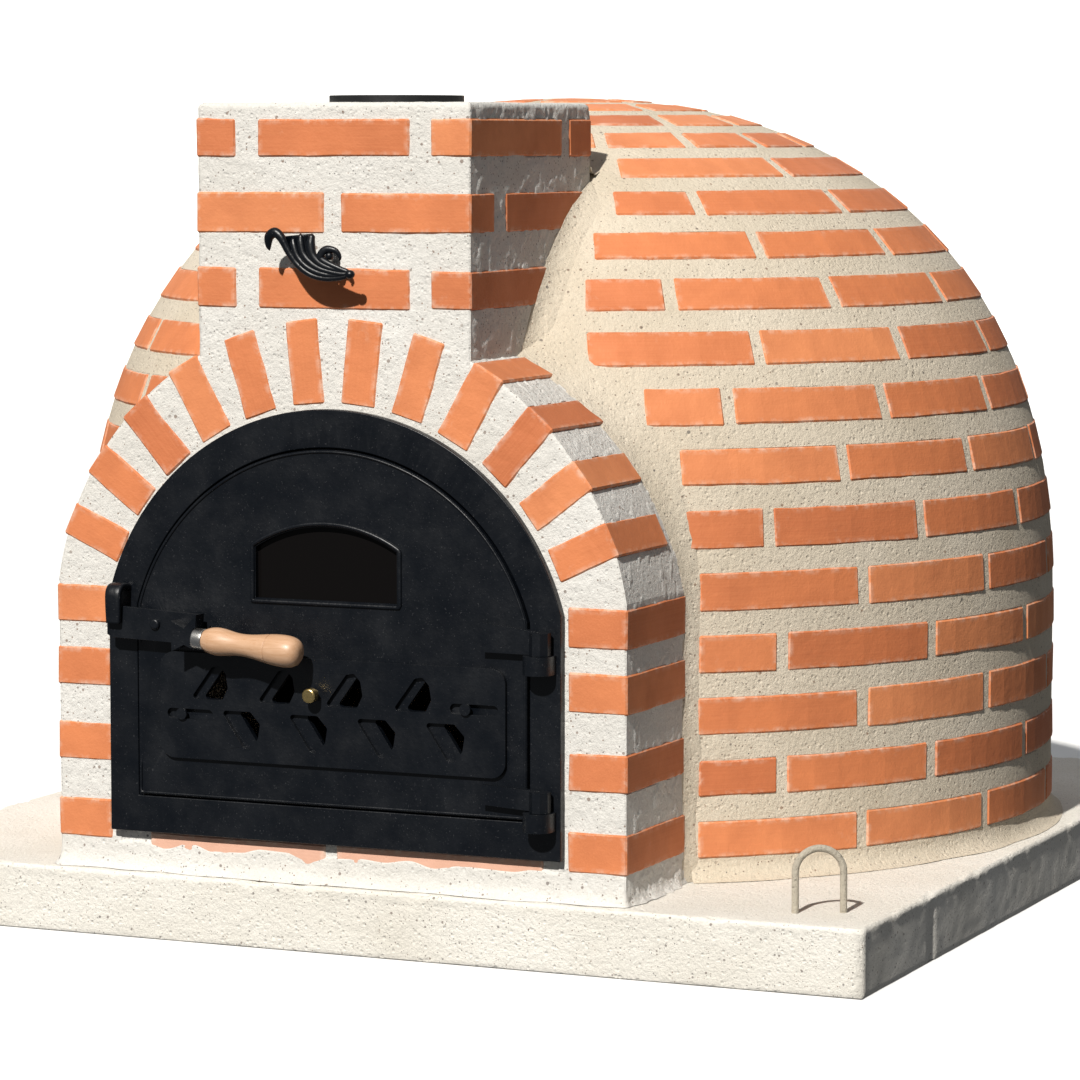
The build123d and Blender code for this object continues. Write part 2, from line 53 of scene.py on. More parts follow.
# the facade's front plane and the slab's top give every other place
slabLow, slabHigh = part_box("base_slab")
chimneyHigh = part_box("chimney_bricks")[1]
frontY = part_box("arch_bricks")[0].y
groundZ = slabHigh.z

oven = {
    "domeRadius": 0.688, "domeWall": 0.300, "domeRise": 0.706, "domePower": 2.3,
    "faceHalf": 0.404, "faceRadius": 0.409, "faceCentre": 0.314,
    "chimneyHalf": chimneyHigh.x, "chimneyDepth": chimneyHigh.y - frontY, "chimneyTop": 0.996,
}
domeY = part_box("dome_mortar_shell")[1].y - oven["domeRadius"] + 0.002 - frontY


def toRow(points):
    # the oven is laid out from the foot of its facade
    return points + np.array([0.0, frontY, groundZ])


# camera, light and floor
shot = {"place": (2.413, frontY - 4.826, groundZ + 0.954), "yaw": 23.78, "down": 5.42, "lens": 142.3}
camera = bpy.data.cameras.new("ovenCamera")
camera.lens = shot["lens"]
camera.sensor_width = 36
camera.clip_end = 100
cameraObject = bpy.data.objects.new("ovenCamera", camera)
cameraObject.location = shot["place"]
cameraObject.rotation_euler = (math.radians(90 - shot["down"]), 0, math.radians(shot["yaw"]))
bpy.context.collection.objects.link(cameraObject)
bpy.context.scene.camera = cameraObject

studio = {"sunPower": 5.4, "sunSoft": 1.6, "sunFrom": (0.03, -1.0, 0.87), "skyPower": 0.15,
          "fillPower": 1.0, "fillSoft": 60.0, "fillFrom": (-0.5, 1.0, 0.8)}
for name, power, soft, source, tint in (
        ("keySun", studio["sunPower"], studio["sunSoft"], studio["sunFrom"], (1.0, 0.965, 0.91)),
        ("backFill", studio["fillPower"], studio["fillSoft"], studio["fillFrom"], (0.94, 0.97, 1.0))):
    lamp = bpy.data.lights.new(name, "SUN")
    lamp.energy = power
    lamp.angle = math.radians(soft)
    lamp.color = tint
    lampObject = bpy.data.objects.new(name, lamp)
    lampObject.rotation_euler = Vector(source).to_track_quat("Z", "Y").to_euler()
    bpy.context.collection.objects.link(lampObject)

world = bpy.data.worlds.new("studioWorld")
bpy.context.scene.world = world
world.use_nodes = True
world.node_tree.nodes["Background"].inputs["Color"].default_value = (0.93, 0.96, 1.0, 1)
world.node_tree.nodes["Background"].inputs["Strength"].default_value = studio["skyPower"]
bpy.context.scene.view_settings.view_transform = "Standard"
print("camera and light ready")


# materials

class Finish:
    # one material; node() adds a shader node and links or sets its inputs
    def __init__(self, name, **surface):
        self.material = bpy.data.materials.new(name)
        self.material.use_nodes = True
        self.tree = self.material.node_tree
        self.tree.nodes.clear()
        self.output = self.node("OutputMaterial", {})
        self.shader = self.node("BsdfPrincipled", surface)
        self.tree.links.new(self.shader.outputs[0], self.output.inputs[0])
        self.place = self.node("TexCoord", {}).outputs["Object"]

    def node(self, kind, inputs, **settings):
        made = self.tree.nodes.new("ShaderNode" + kind)
        for key, value in settings.items():
            setattr(made, key, value)
        for key, value in inputs.items():
            self.put(made.inputs[key], value)
        return made

    def put(self, socket, value):
        if isinstance(value, bpy.types.NodeSocket):
            self.tree.links.new(value, socket)
        elif isinstance(value, tuple) and len(value) == 3 and socket.type == "RGBA":
            socket.default_value = (*value, 1)
        else:
            socket.default_value = value

    def surface(self, **inputs):
        for key, value in inputs.items():
            self.put(self.shader.inputs[key.replace("_", " ")], value)
        return self.material

    def noise(self, scale, detail=3.0, rough=0.55, place=None, warp=0.0):
        made = self.node("TexNoise", {"Vector": place or self.place, "Scale": scale, "Detail": detail,
                                      "Roughness": rough, "Distortion": warp})
        return made.outputs["Fac"]

    def ramp(self, value, low, high, fromLow=0.0, fromHigh=1.0):
        made = self.node("MapRange", {"Value": value, "From Min": low, "From Max": high,
                                      "To Min": fromLow, "To Max": fromHigh})
        return made.outputs["Result"]

    def maths(self, operation, a, b=0.0):
        made = self.node("Math", {0: a, 1: b}, operation=operation)
        return made.outputs[0]

    def blend(self, amount, a, b, kind="MIX"):
        made = self.node("Mix", {}, data_type="RGBA", blend_type=kind)
        for socket, value in zip((made.inputs[0], made.inputs[6], made.inputs[7]), (amount, a, b)):
            self.put(socket, value)
        return made.outputs[2]

    def bump(self, height, strength, distance, normal=None):
        made = self.node("Bump", {"Height": height, "Strength": strength, "Distance": distance})
        if normal:
            self.put(made.inputs["Normal"], normal)
        return made.outputs["Normal"]

    def stretched(self, scale, turn=(0.0, 0.0, 0.0), place=None):
        made = self.node("Mapping", {"Vector": place or self.place, "Scale": scale, "Rotation": turn})
        return made.outputs[0]


def mortarFinish(name, base, stain, gritScale=150.0, pits=0.8):
    # sanded cement: slow stains, fine sand, scattered dark and rust-coloured grit, pits
    made = Finish(name)
    slow = made.ramp(made.noise(5.0, 4.0), 0.35, 0.7)
    colour = made.blend(slow, base, stain)
    fine = made.noise(260.0, 4.0, 0.7)
    colour = made.blend(made.ramp(fine, 0.3, 0.7, 0.0, 0.35), colour, tuple(c * 0.62 for c in stain))
    for scale, share, gritty in ((gritScale * 0.8, 0.90, 0.7), (gritScale * 1.7, 0.80, 0.8)):
        grit = made.node("TexVoronoi", {"Vector": made.place, "Scale": scale, "Randomness": 1.0})
        cell = made.node("SeparateColor", {0: grit.outputs["Color"]})
        chosen = made.ramp(cell.outputs[0], share, share + 0.03)
        reach = made.ramp(cell.outputs[2], 0.0, 1.0, 0.14, 0.36)
        spot = made.ramp(made.maths("SUBTRACT", reach, grit.outputs["Distance"]), 0.0, 0.07)
        dark = made.maths("MULTIPLY", made.maths("MULTIPLY", chosen, spot), gritty)
        gritColour = made.blend(cell.outputs[1], (0.07, 0.07, 0.075), (0.20, 0.105, 0.06))
        colour = made.blend(dark, colour, gritColour)
    rough = made.noise(105.0, 6.0, 0.75)
    hole = made.node("TexVoronoi", {"Vector": made.place, "Scale": 95.0, "Randomness": 1.0})
    pit = made.ramp(hole.outputs["Distance"], 0.10, 0.26)
    height = made.maths("ADD", made.maths("MULTIPLY", rough, 1.1), made.maths("MULTIPLY", pit, 0.35))
    normal = made.bump(height, pits, 0.006)
    normal = made.bump(fine, 0.5, 0.0015, normal)
    return made.surface(Base_Color=colour, Roughness=0.93, Normal=normal)


def brickFinish(name, dark, mid, light, bloom=0.5):
    # fired clay: each brick its own tone, drag lines along it, pale bloom at its edges
    made = Finish(name)
    tone = made.node("Attribute", {}, attribute_name="brickTone").outputs["Fac"]
    spot = made.node("Attribute", {}, attribute_name="brickSpot").outputs["Vector"]
    size = made.node("Attribute", {}, attribute_name="brickSize").outputs["Vector"]
    colour = made.blend(made.ramp(tone, 0.0, 0.55), dark, mid)
    colour = made.blend(made.ramp(tone, 0.55, 1.0), colour, light)
    cloud = made.noise(14.0, 5.0, 0.6)
    colour = made.blend(made.ramp(cloud, 0.3, 0.75, 0.0, 0.5), colour, tuple(c * 0.74 for c in dark))
    drag = made.noise(1.0, 3.0, 0.6, made.stretched((9.0, 420.0, 420.0), place=spot))
    colour = made.blend(made.ramp(drag, 0.35, 0.75, 0.0, 0.22), colour, light)
    # the second smallest of the three distances to the faces is the distance to the nearest edge
    gap = made.node("VectorMath", {0: size, 1: made.node("VectorMath", {0: spot}, operation="ABSOLUTE").outputs[0]},
                    operation="SUBTRACT").outputs[0]
    part = made.node("SeparateXYZ", {0: gap})
    least, most = (made.maths(kind, part.outputs[0], part.outputs[1]) for kind in ("MINIMUM", "MAXIMUM"))
    edge = made.maths("MAXIMUM", least, made.maths("MINIMUM", most, part.outputs[2]))
    rim = made.ramp(edge, 0.0085, 0.001)
    patch = made.ramp(made.noise(60.0, 5.0, 0.7), 0.46, 0.70)
    rim = made.maths("MULTIPLY", made.maths("MULTIPLY", rim, patch), bloom)
    colour = made.blend(rim, colour, (0.78, 0.66, 0.55))
    smear = made.maths("MULTIPLY", made.ramp(made.noise(21.0, 6.0, 0.72), 0.64, 0.80), bloom * 0.4)
    colour = made.blend(smear, colour, (0.72, 0.55, 0.43))
    fine = made.noise(330.0, 3.0, 0.6)
    normal = made.bump(made.noise(48.0, 5.0, 0.65), 0.35, 0.003)
    normal = made.bump(fine, 0.3, 0.0008, normal)
    rough = made.ramp(cloud, 0.2, 0.8, 0.62, 0.86)
    return made.surface(Base_Color=colour, Roughness=rough, Normal=normal)


def ironFinish(name, base, rough=0.42, dust=0.5):
    # sand-cast iron under a thin black paint: pebbled skin, dust in patches, worn shine
    made = Finish(name, Metallic=0.0)
    patch = made.ramp(made.noise(11.0, 6.0, 0.7, warp=0.6), 0.45, 0.8, 0.0, dust)
    colour = made.blend(patch, base, (0.014, 0.0160, 0.0195))
    fleck = made.ramp(made.noise(420.0, 2.0), 0.66, 0.74, 0.0, 0.5)
    colour = made.blend(fleck, colour, (0.055, 0.056, 0.060))
    sheen = made.ramp(made.noise(23.0, 5.0, 0.65), 0.3, 0.75, rough - 0.10, rough + 0.16)
    normal = made.bump(made.noise(190.0, 4.0, 0.6), 0.34, 0.0012)
    normal = made.bump(made.noise(30.0, 3.0), 0.25, 0.002, normal)
    return made.surface(Base_Color=colour, Roughness=sheen, Specular_IOR_Level=0.36, Normal=normal)


def metalFinish(name, base, rough, scratch):
    # turned metal: fine marks across the part and a little tarnish
    made = Finish(name, Metallic=1.0)
    mark = made.noise(1.0, 3.0, 0.5, made.stretched((scratch, 60.0, scratch)))
    colour = made.blend(made.ramp(made.noise(70.0, 4.0), 0.4, 0.7, 0.0, 0.5), base, tuple(c * 0.55 for c in base))
    normal = made.bump(mark, 0.15, 0.0005)
    return made.surface(Base_Color=colour, Roughness=made.ramp(mark, 0.2, 0.8, rough - 0.06, rough + 0.12),
                        Normal=normal)


def stoneFinish(name, base, stain, scale, soot=0.0):
    # plain refractory: blotches, fine pores, and soot where the fire reaches
    made = Finish(name)
    colour = made.blend(made.ramp(made.noise(scale, 5.0), 0.35, 0.7), base, stain)
    black = made.ramp(made.noise(6.0, 5.0, 0.6, warp=0.5), 0.35, 0.75, 0.0, soot)
    colour = made.blend(black, colour, (0.03, 0.027, 0.025))
    normal = made.bump(made.noise(170.0, 5.0, 0.7), 0.5, 0.002)
    return made.surface(Base_Color=colour, Roughness=0.9, Normal=normal)


def beechFinish():
    # beech: long soft grain along the grip with the short dark flecks of the wood
    made = Finish("beechOiled")
    turn = (0.0, math.radians(-4.2), math.radians(2.2))
    along = made.stretched((14.0, 190.0, 190.0), turn)
    grain = made.noise(1.0, 4.0, 0.6, along, 0.4)
    colour = made.blend(made.ramp(grain, 0.3, 0.7), (0.45, 0.26, 0.145), (0.56, 0.355, 0.225))
    fleck = made.noise(1.0, 2.0, 0.5, made.stretched((150.0, 900.0, 900.0), turn))
    colour = made.blend(made.ramp(fleck, 0.62, 0.72, 0.0, 0.5), colour, (0.42, 0.20, 0.08))
    return made.surface(Base_Color=colour, Roughness=0.42, Coat_Weight=0.15,
                        Normal=made.bump(grain, 0.12, 0.0006))


def glassFinish():
    made = Finish("stoveGlass", Metallic=0.0)
    smoke = made.ramp(made.noise(16.0, 4.0), 0.3, 0.8, 0.06, 0.22)
    return made.surface(Base_Color=(0.004, 0.0035, 0.0035), Roughness=smoke, Specular_IOR_Level=0.12)


def weaveFinish():
    made = Finish("ropeWeave")
    braid = made.node("TexWave", {"Vector": made.place, "Scale": 160.0, "Distortion": 2.0})
    colour = made.blend(braid.outputs["Fac"], (0.018, 0.018, 0.018), (0.07, 0.07, 0.068))
    return made.surface(Base_Color=colour, Roughness=0.95, Normal=made.bump(braid.outputs["Fac"], 0.8, 0.002))


finish = {
    "concrete": mortarFinish("slabConcrete", (0.84, 0.815, 0.755), (0.75, 0.715, 0.64), 210.0, 0.6),
    "dome_mortar": mortarFinish("domeMortar", (0.71, 0.635, 0.52), (0.585, 0.51, 0.395), 170.0, 0.6),
    "face_mortar": mortarFinish("faceMortar", (0.75, 0.735, 0.70), (0.675, 0.655, 0.61), 160.0, 0.55),
    "red_brick": brickFinish("redBrick", (0.47, 0.129, 0.045), (0.625, 0.198, 0.071), (0.70, 0.258, 0.103)),
    "pale_brick": brickFinish("paleBrick", (0.60, 0.31, 0.21), (0.66, 0.37, 0.26), (0.74, 0.46, 0.35), 0.8),
    "cast_black": ironFinish("castBlack", (0.0020, 0.0032, 0.0055), 0.36, 0.36),
    "black_steel": ironFinish("blackSteel", (0.006, 0.0066, 0.0075), 0.5, 0.25),
    "bright_steel": metalFinish("brightSteel", (0.62, 0.61, 0.59), 0.28, 900.0),
    "brass": metalFinish("satinBrass", (0.70, 0.52, 0.22), 0.26, 700.0),
    "firebrick": stoneFinish("fireClay", (0.74, 0.60, 0.46), (0.64, 0.49, 0.36), 18.0, 0.35),
    "refractory": stoneFinish("castRefractory", (0.50, 0.45, 0.39), (0.38, 0.33, 0.28), 9.0, 0.75),
    "board": stoneFinish("insulationBoard", (0.76, 0.73, 0.66), (0.66, 0.63, 0.57), 12.0),
    "blanket": stoneFinish("fibreBlanket", (0.84, 0.83, 0.80), (0.76, 0.75, 0.71), 20.0),
    "steel_bar": mortarFinish("splashedBar", (0.66, 0.61, 0.50), (0.45, 0.40, 0.32), 400.0, 0.9),
    "beech": beechFinish(),
    "heat_glass": glassFinish(),
    "rope": weaveFinish(),
}
slotOf = {row["node"]: row["material_slot"] for row in frame["record"]["subparts"]}
for nodeName, nodeObject in cadNodes.items():
    nodeObject.data.materials.clear()
    nodeObject.data.materials.append(finish[slotOf[nodeName]])
print("materials ready")


# makers

def latticeNoise(points, size, seed):
    # random numbers at the corners of a cubic lattice, blended with an eased weight; from -1 to 1
    scaled = points / size
    cell = np.floor(scaled).astype(np.int64)
    part = scaled - cell
    part = part * part * (3 - 2 * part)
    total = np.zeros(points.shape[:-1])
    for corner in itertools.product((0, 1), repeat=3):
        at = cell + np.array(corner)
        mixed = at[..., 0] * 374761393 + at[..., 1] * 668265263 + at[..., 2] * 915488749 + seed * 97
        mixed = mixed & 0xFFFFFFFF
        mixed = ((mixed ^ (mixed >> 13)) * 1274126177) & 0xFFFFFFFF
        value = ((mixed ^ (mixed >> 16)) & 0xFFFF) / 65535.0
        weight = np.prod(np.where(np.array(corner), part, 1 - part), axis=-1)
        total += weight * value
    return 2 * total - 1


def crust(points, seed, coarse=0.045, fine=0.012):
    # trowelled mortar: slow waves with sand-sized bumps on them
    slow = latticeNoise(points, coarse, seed)
    quick = latticeNoise(points, fine, seed + 1)
    return 0.45 * slow + 0.55 * quick


def pitted(points, seed):
    # mortar left as thrown: a ragged crust with pits torn out of it, from 0.45 down to -0.75
    coarse = latticeNoise(points, 0.016, seed)
    quick = latticeNoise(points, 0.0075, seed + 1)
    return 0.45 - 1.2 * np.clip(0.5 + 0.55 * quick + 0.45 * coarse, 0, 1) ** 1.5


def meshPiece(name, points, faces, slotName, body="masonry", replaced=(), smooth=True, merge=False):
    mesh = bpy.data.meshes.new(name)
    mesh.from_pydata(toRow(points.reshape(-1, 3)).tolist(), [], faces)
    if merge:
        work = bmesh.new()
        work.from_mesh(mesh)
        bmesh.ops.remove_doubles(work, verts=work.verts, dist=1e-6)
        work.to_mesh(mesh)
        work.free()
    mesh.polygons.foreach_set("use_smooth", [smooth] * len(mesh.polygons))
    mesh.materials.append(finish[slotName])
    piece = bpy.data.objects.new(name, mesh)
    bpy.context.collection.objects.link(piece)
    if replaced:
        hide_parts(*replaced)
    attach(piece, body)
    return piece


def gridFaces(rows, cols, wrap=False, flip=False, start=0):
    # quads between neighbouring rows and columns; wrap joins the last column to the first
    index = start + np.arange(rows * cols).reshape(rows, cols)
    here = index if wrap else index[:, :-1]
    beside = np.roll(index, -1, 1) if wrap else index[:, 1:]
    quads = np.stack([here[:-1], beside[:-1], beside[1:], here[1:]], -1).reshape(-1, 4)
    return quads[:, ::-1] if flip else quads


def archLine(half, foot, centre, radius, count):
    # left side up, over the arc and down the right side; returns x, z and the outward direction
    spring = math.sqrt(radius**2 - half**2)
    top = math.atan2(spring, half)
    t = np.linspace(0, 1, count)
    side = np.clip(np.minimum(t, 1 - t) / 0.2, 0, 1)
    turn = math.pi - top - np.clip((t - 0.2) / 0.6, 0, 1) * (math.pi - 2 * top)
    onArc = (t > 0.2) & (t < 0.8)
    x = np.where(onArc, radius * np.cos(turn), np.where(t < 0.5, -half, half))
    z = np.where(onArc, centre + radius * np.sin(turn), foot + side * (centre + spring - foot))
    outX = np.where(onArc, np.cos(turn), np.where(t < 0.5, -1.0, 1.0))
    outZ = np.where(onArc, np.sin(turn), 0.0)
    return x, z, outX, outZ


def softened(nodeName, width, segments=2):
    # a welded copy of a CAD node with its edges eased by a bevel
    source = cadNodes[nodeName]
    mesh = source.data.copy()
    mesh.name = nodeName + "Eased"
    work = bmesh.new()
    work.from_mesh(mesh)
    bmesh.ops.remove_doubles(work, verts=work.verts, dist=2e-6)
    bmesh.ops.dissolve_limit(work, angle_limit=math.radians(1.0), verts=work.verts, edges=work.edges)
    bmesh.ops.triangulate(work, faces=[face for face in work.faces if len(face.verts) > 40])
    work.to_mesh(mesh)
    work.free()
    mesh.polygons.foreach_set("use_smooth", [True] * len(mesh.polygons))
    mesh.set_sharp_from_angle(angle=math.radians(32))
    piece = bpy.data.objects.new(nodeName + "Eased", mesh)
    bpy.context.collection.objects.link(piece)
    bevel = piece.modifiers.new("ease", "BEVEL")
    bevel.width = width
    bevel.segments = segments
    bevel.limit_method = "ANGLE"
    bevel.angle_limit = math.radians(32)
    bevel.use_clamp_overlap = True
    bevel.harden_normals = True
    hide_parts(nodeName)
    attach(piece, bodyOf[nodeName])
    return piece


bodyOf = {node: body for body, group in frame["record"]["behaviour"]["bodies"].items() for node in group}

# shape of the dome
power = 2 / oven["domePower"]
angleSteps = np.radians(np.linspace(0, 90, 721))
meridianR = np.concatenate([[oven["domeRadius"]], oven["domeRadius"] * np.cos(angleSteps).clip(0) ** power])
meridianZ = np.concatenate([[0.0], oven["domeWall"] + oven["domeRise"] * np.sin(angleSteps) ** power])
meridianS = np.concatenate([[0.0], np.cumsum(np.hypot(np.diff(meridianR), np.diff(meridianZ)))])


def domePoint(azimuth, along, depth):
    # azimuth from straight ahead towards +x, along up the wall, depth into it
    s = np.clip(along, 0, meridianS[-1])
    r = np.interp(s, meridianS, meridianR)
    z = np.interp(s, meridianS, meridianZ)
    low, high = np.clip(s - 0.004, 0, None), np.clip(s + 0.004, None, meridianS[-1])
    dr = np.interp(high, meridianS, meridianR) - np.interp(low, meridianS, meridianR)
    dz = np.interp(high, meridianS, meridianZ) - np.interp(low, meridianS, meridianZ)
    span = np.hypot(dr, dz)
    r = r - depth * dz / span
    z = z + depth * dr / span
    return np.stack([r * np.sin(azimuth), domeY - r * np.cos(azimuth), z + 0 * azimuth], -1)


def domeFrontY(x, z):
    r = np.interp(z, meridianZ, meridianR)
    return domeY - np.sqrt(np.clip(r**2 - x**2, 0, None))


def neckHalf(z):
    rise = np.clip(z - oven["faceCentre"], 0, oven["faceRadius"])
    return np.minimum(oven["faceHalf"], np.sqrt(np.clip(oven["faceRadius"] ** 2 - rise**2, 0, None)))


def frontGap(along, extra):
    # half angle in front that the neck and the chimney take
    r = np.interp(along, meridianS, meridianR)
    z = np.interp(along, meridianS, meridianZ)
    half = np.maximum(neckHalf(z), np.where(z > 0.6, oven["chimneyHalf"], 0.0)) + extra
    gap = np.arcsin(np.clip(half / np.maximum(r, 1e-6), 0, 1))
    behind = domeY - oven["chimneyDepth"] - extra
    back = np.arccos(np.clip(behind / np.maximum(r, 1e-6), -1, 1))
    gap = np.where(z > 0.72, np.minimum(gap, back), gap)
    return np.where(r <= behind, 0.0, gap)


def makeDomeMortar():
    # rows climb the wall, columns run round from one side of the neck to the other
    skin = {"rows": 212, "cols": 430, "depth": 0.0026, "rough": 0.0012}
    along = np.linspace(0, meridianS[-1], skin["rows"])[:, None]
    across = np.linspace(0, 1, skin["cols"])[None, :]
    gap = frontGap(along, -0.004)
    azimuth = gap + across * (2 * math.pi - 2 * gap)
    flat = domePoint(azimuth, along + 0 * azimuth, 0 * azimuth)
    depth = skin["depth"] - skin["rough"] * crust(flat, 11, 0.06, 0.016)
    points = domePoint(azimuth, along + 0 * azimuth, depth)
    faces = gridFaces(skin["rows"], skin["cols"]).tolist()
    return meshPiece("domeMortarSkin", points, faces, "dome_mortar", merge=True)


# bricks
brick = {"ease": 0.0022, "chip": 0.0008, "wave": 0.0007, "stations": 9, "thick": 0.038}


def brickTemplate(halfLength, halfHeight, thick):
    # a rounded rectangle of height and depth carried along the length, drawn in at both ends
    ease = brick["ease"]
    count = brick["stations"]
    inner = np.linspace(-1, 1, count - 2)
    a = np.concatenate([[-halfLength], inner * (halfLength - ease), [halfLength]])
    drawn = np.zeros(count)
    drawn[[0, -1]] = ease
    h, t = halfHeight, thick
    b = np.array([-h + ease, h - ease, h, h, h - ease, -h + ease, -h, -h])
    c = np.array([0, 0, -ease, -t + ease, -t, -t, -t + ease, -ease])
    bGrid = np.clip(b[None, :], -(h - drawn)[:, None], (h - drawn)[:, None])
    cGrid = np.clip(c[None, :], (-t + drawn)[:, None], (-drawn)[:, None])
    aGrid = np.repeat(a[:, None], 8, 1)
    return np.stack([aGrid, bGrid, cGrid], -1)


def brickFaces(start):
    quads = gridFaces(brick["stations"], 8, wrap=True, flip=True, start=start).tolist()
    last = start + (brick["stations"] - 1) * 8
    return quads + [list(range(start, start + 8)), list(range(last + 7, last - 1, -1))]


def markBricks(piece, spots, sizes, tones):
    # each point's place in its own brick, that brick's half sizes and its tone, read by the material
    for name, kind, field, values in (("brickSpot", "FLOAT_VECTOR", "vector", spots),
                                      ("brickSize", "FLOAT_VECTOR", "vector", sizes),
                                      ("brickTone", "FLOAT", "value", tones)):
        layer = piece.data.attributes.new(name, kind, "POINT")
        layer.data.foreach_set(field, values.reshape(-1).astype(np.float32))


def brickPiece(name, stones, slotName, replaced, seed):
    # stones: (half length, half height, thickness, function from local to oven coordinates)
    draw = np.random.default_rng(seed)
    points, faces, spots, sizes, tones = [], [], [], [], []
    for halfLength, halfHeight, thick, place in stones:
        local = brickTemplate(halfLength, halfHeight, thick)
        tilt, grow = draw.normal(0, 0.006), draw.normal(0, 0.0007)
        slip = draw.normal(0, 0.0008) if thick < 0.040 else 0.0
        spots.append(local + np.array([0.0, 0.0, thick / 2]))
        sizes.append(np.full(local.shape, (halfLength, halfHeight, thick / 2)))
        bent = local.copy()
        bent[..., 1] += tilt * local[..., 0] * min(1.0, 0.06 / halfLength) + grow * np.sign(local[..., 1])
        bent[..., 0] += slip
        world = place(bent)
        nudge = latticeNoise(world, 0.030, seed)[..., None] * brick["chip"]
        outline = np.stack([np.sign(local[..., 0]) * (np.abs(local[..., 0]) > halfLength - 0.004),
                            np.sign(local[..., 1]), 0 * local[..., 2]], -1)
        bent += outline * nudge
        bent[..., 2] += latticeNoise(world, 0.03, seed + 5) * brick["wave"] - 0.0002
        world = place(bent)
        faces += brickFaces(len(points) * brick["stations"] * 8)
        points.append(world)
        tones.append(np.full(world.shape[0] * world.shape[1], np.clip(draw.normal(0.55, 0.24), 0, 1)))
    piece = meshPiece(name, np.array(points), faces, slotName, replaced=replaced, smooth=False)
    markBricks(piece, np.array(spots), np.array(sizes), np.concatenate(tones))
    return piece


def flatStone(centre, along, up, halfLength, halfHeight, thick):
    # a brick whose face looks along the third direction, up cross along
    lengthWay, heightWay = np.array(along, float), np.array(up, float)
    outWay = np.cross(lengthWay, heightWay)
    middle = np.array(centre, float)

    def place(local):
        return (middle + local[..., :1] * lengthWay + local[..., 1:2] * heightWay + local[..., 2:] * outWay)
    return halfLength, halfHeight, thick, place


# measured up the wall from its foot; the joint is the upright one
courses = {"count": 17, "first": 0.028, "pitch": 0.080, "height": 0.049, "joint": 0.016,
           "stretcher": 0.224, "header": 0.106, "headersFrom": 0.340}


def courseMiddle(k):
    return courses["first"] + courses["pitch"] * k + courses["height"] / 2


def domeStone(k, start, end):
    middle = courseMiddle(k)
    r = float(np.interp(middle, meridianS, meridianR))

    def place(local):
        azimuth = (start + end) / 2 + local[..., 0] / r
        return domePoint(azimuth, middle + local[..., 1], -local[..., 2])
    return (end - start) / 2 * r, courses["height"] / 2, brick["thick"], place


def courseStones(k):
    # running bond, the same spacing rule as the frame's courses
    middle = courseMiddle(k)
    r = float(np.interp(middle, meridianS, meridianR))
    z = float(np.interp(middle, meridianS, meridianZ))
    length = courses["stretcher"] if r > courses["headersFrom"] else courses["header"]
    fillet = 0.012 if z <= 0.5 else 0.040 + 0.030 * max(0.0, 1 - abs(z - 0.670) / 0.120)
    half = float(neckHalf(np.array(z))) if z < oven["faceCentre"] + oven["faceRadius"] else 0.0
    if z > 0.560:
        half = max(half, oven["chimneyHalf"])
    behind = domeY - oven["chimneyDepth"] - 0.045
    free = 0.0
    if r > behind:
        free = math.asin(min(1.0, (half + fillet) / r))
        if z > 0.720:
            free = min(free, math.acos(behind / r))
    joint = courses["joint"] / r
    span = 2 * math.pi - 2 * free
    count = max(4, round(span * r / (length + courses["joint"])))
    pitch = (span + (joint if free else 0.0)) / count
    if not free:
        shift = pitch / 2 * (k % 2)
        pairs = [(shift + i * pitch, shift + (i + 1) * pitch - joint) for i in range(count)]
    elif k % 2 == 0:
        pairs = [(free + i * pitch, free + (i + 1) * pitch - joint) for i in range(count)]
    else:
        cuts = [free] + [free + (i + 0.5) * pitch for i in range(count)] + [free + count * pitch]
        pairs = [(a, b - joint) for a, b in zip(cuts, cuts[1:])]
    return [domeStone(k, a, b) for a, b in pairs]


def makeDomeBricks():
    for band in range(6):
        rows = range(3 * band, min(3 * band + 3, courses["count"]))
        stones = [stone for k in rows for stone in courseStones(k)]
        brickPiece(f"domeCourses{band + 1}", stones, "red_brick", [f"dome_bricks_{band + 1}"], 40 + band)


def makeCrown():
    # the disc that closes the dome: a rounded profile (radius, depth) turned round the dome's axis
    radius = np.array([0.0, 0.030, 0.050, 0.0565, 0.0592, 0.0600, 0.0600])
    depth = np.array([0.0, 0.0002, 0.0004, 0.0010, 0.0022, 0.0045, 0.036])
    turn = np.linspace(0, 2 * math.pi, 48, endpoint=False)
    points = np.stack([radius[:, None] * np.sin(turn), domeY - radius[:, None] * np.cos(turn),
                       meridianZ[-1] - depth[:, None] - 0.5 * radius[:, None] ** 2 + 0 * turn], -1)
    faces = gridFaces(len(radius), len(turn), wrap=True, flip=True).tolist()
    piece = meshPiece("crownDisc", points, faces, "red_brick", replaced=["crown_brick"])
    flat = 0 * radius[:, None] + 0 * turn
    local = np.stack([radius[:, None] + flat, flat, 0.018 - depth[:, None] + flat], -1)
    markBricks(piece, local, 0 * local + (0.06, 0.06, 0.018), flat + 0.5)


def makeColumnBricks():
    stones = []
    inner, outer, deep = 0.3245, oven["faceHalf"], 0.195
    for z in (0.039, 0.1404, 0.239, 0.3204):
        for side in (1, -1):
            # laid with its long way front to back; its head is the face beside the frame
            centre = (side * outer, deep / 2, z + 0.025)
            along = (0, side, 0)
            stones.append(flatStone(centre, along, (0, 0, 1), deep / 2, 0.025, outer - inner))
    return brickPiece("columnBricks", stones, "red_brick", ["column_bricks"], 71)


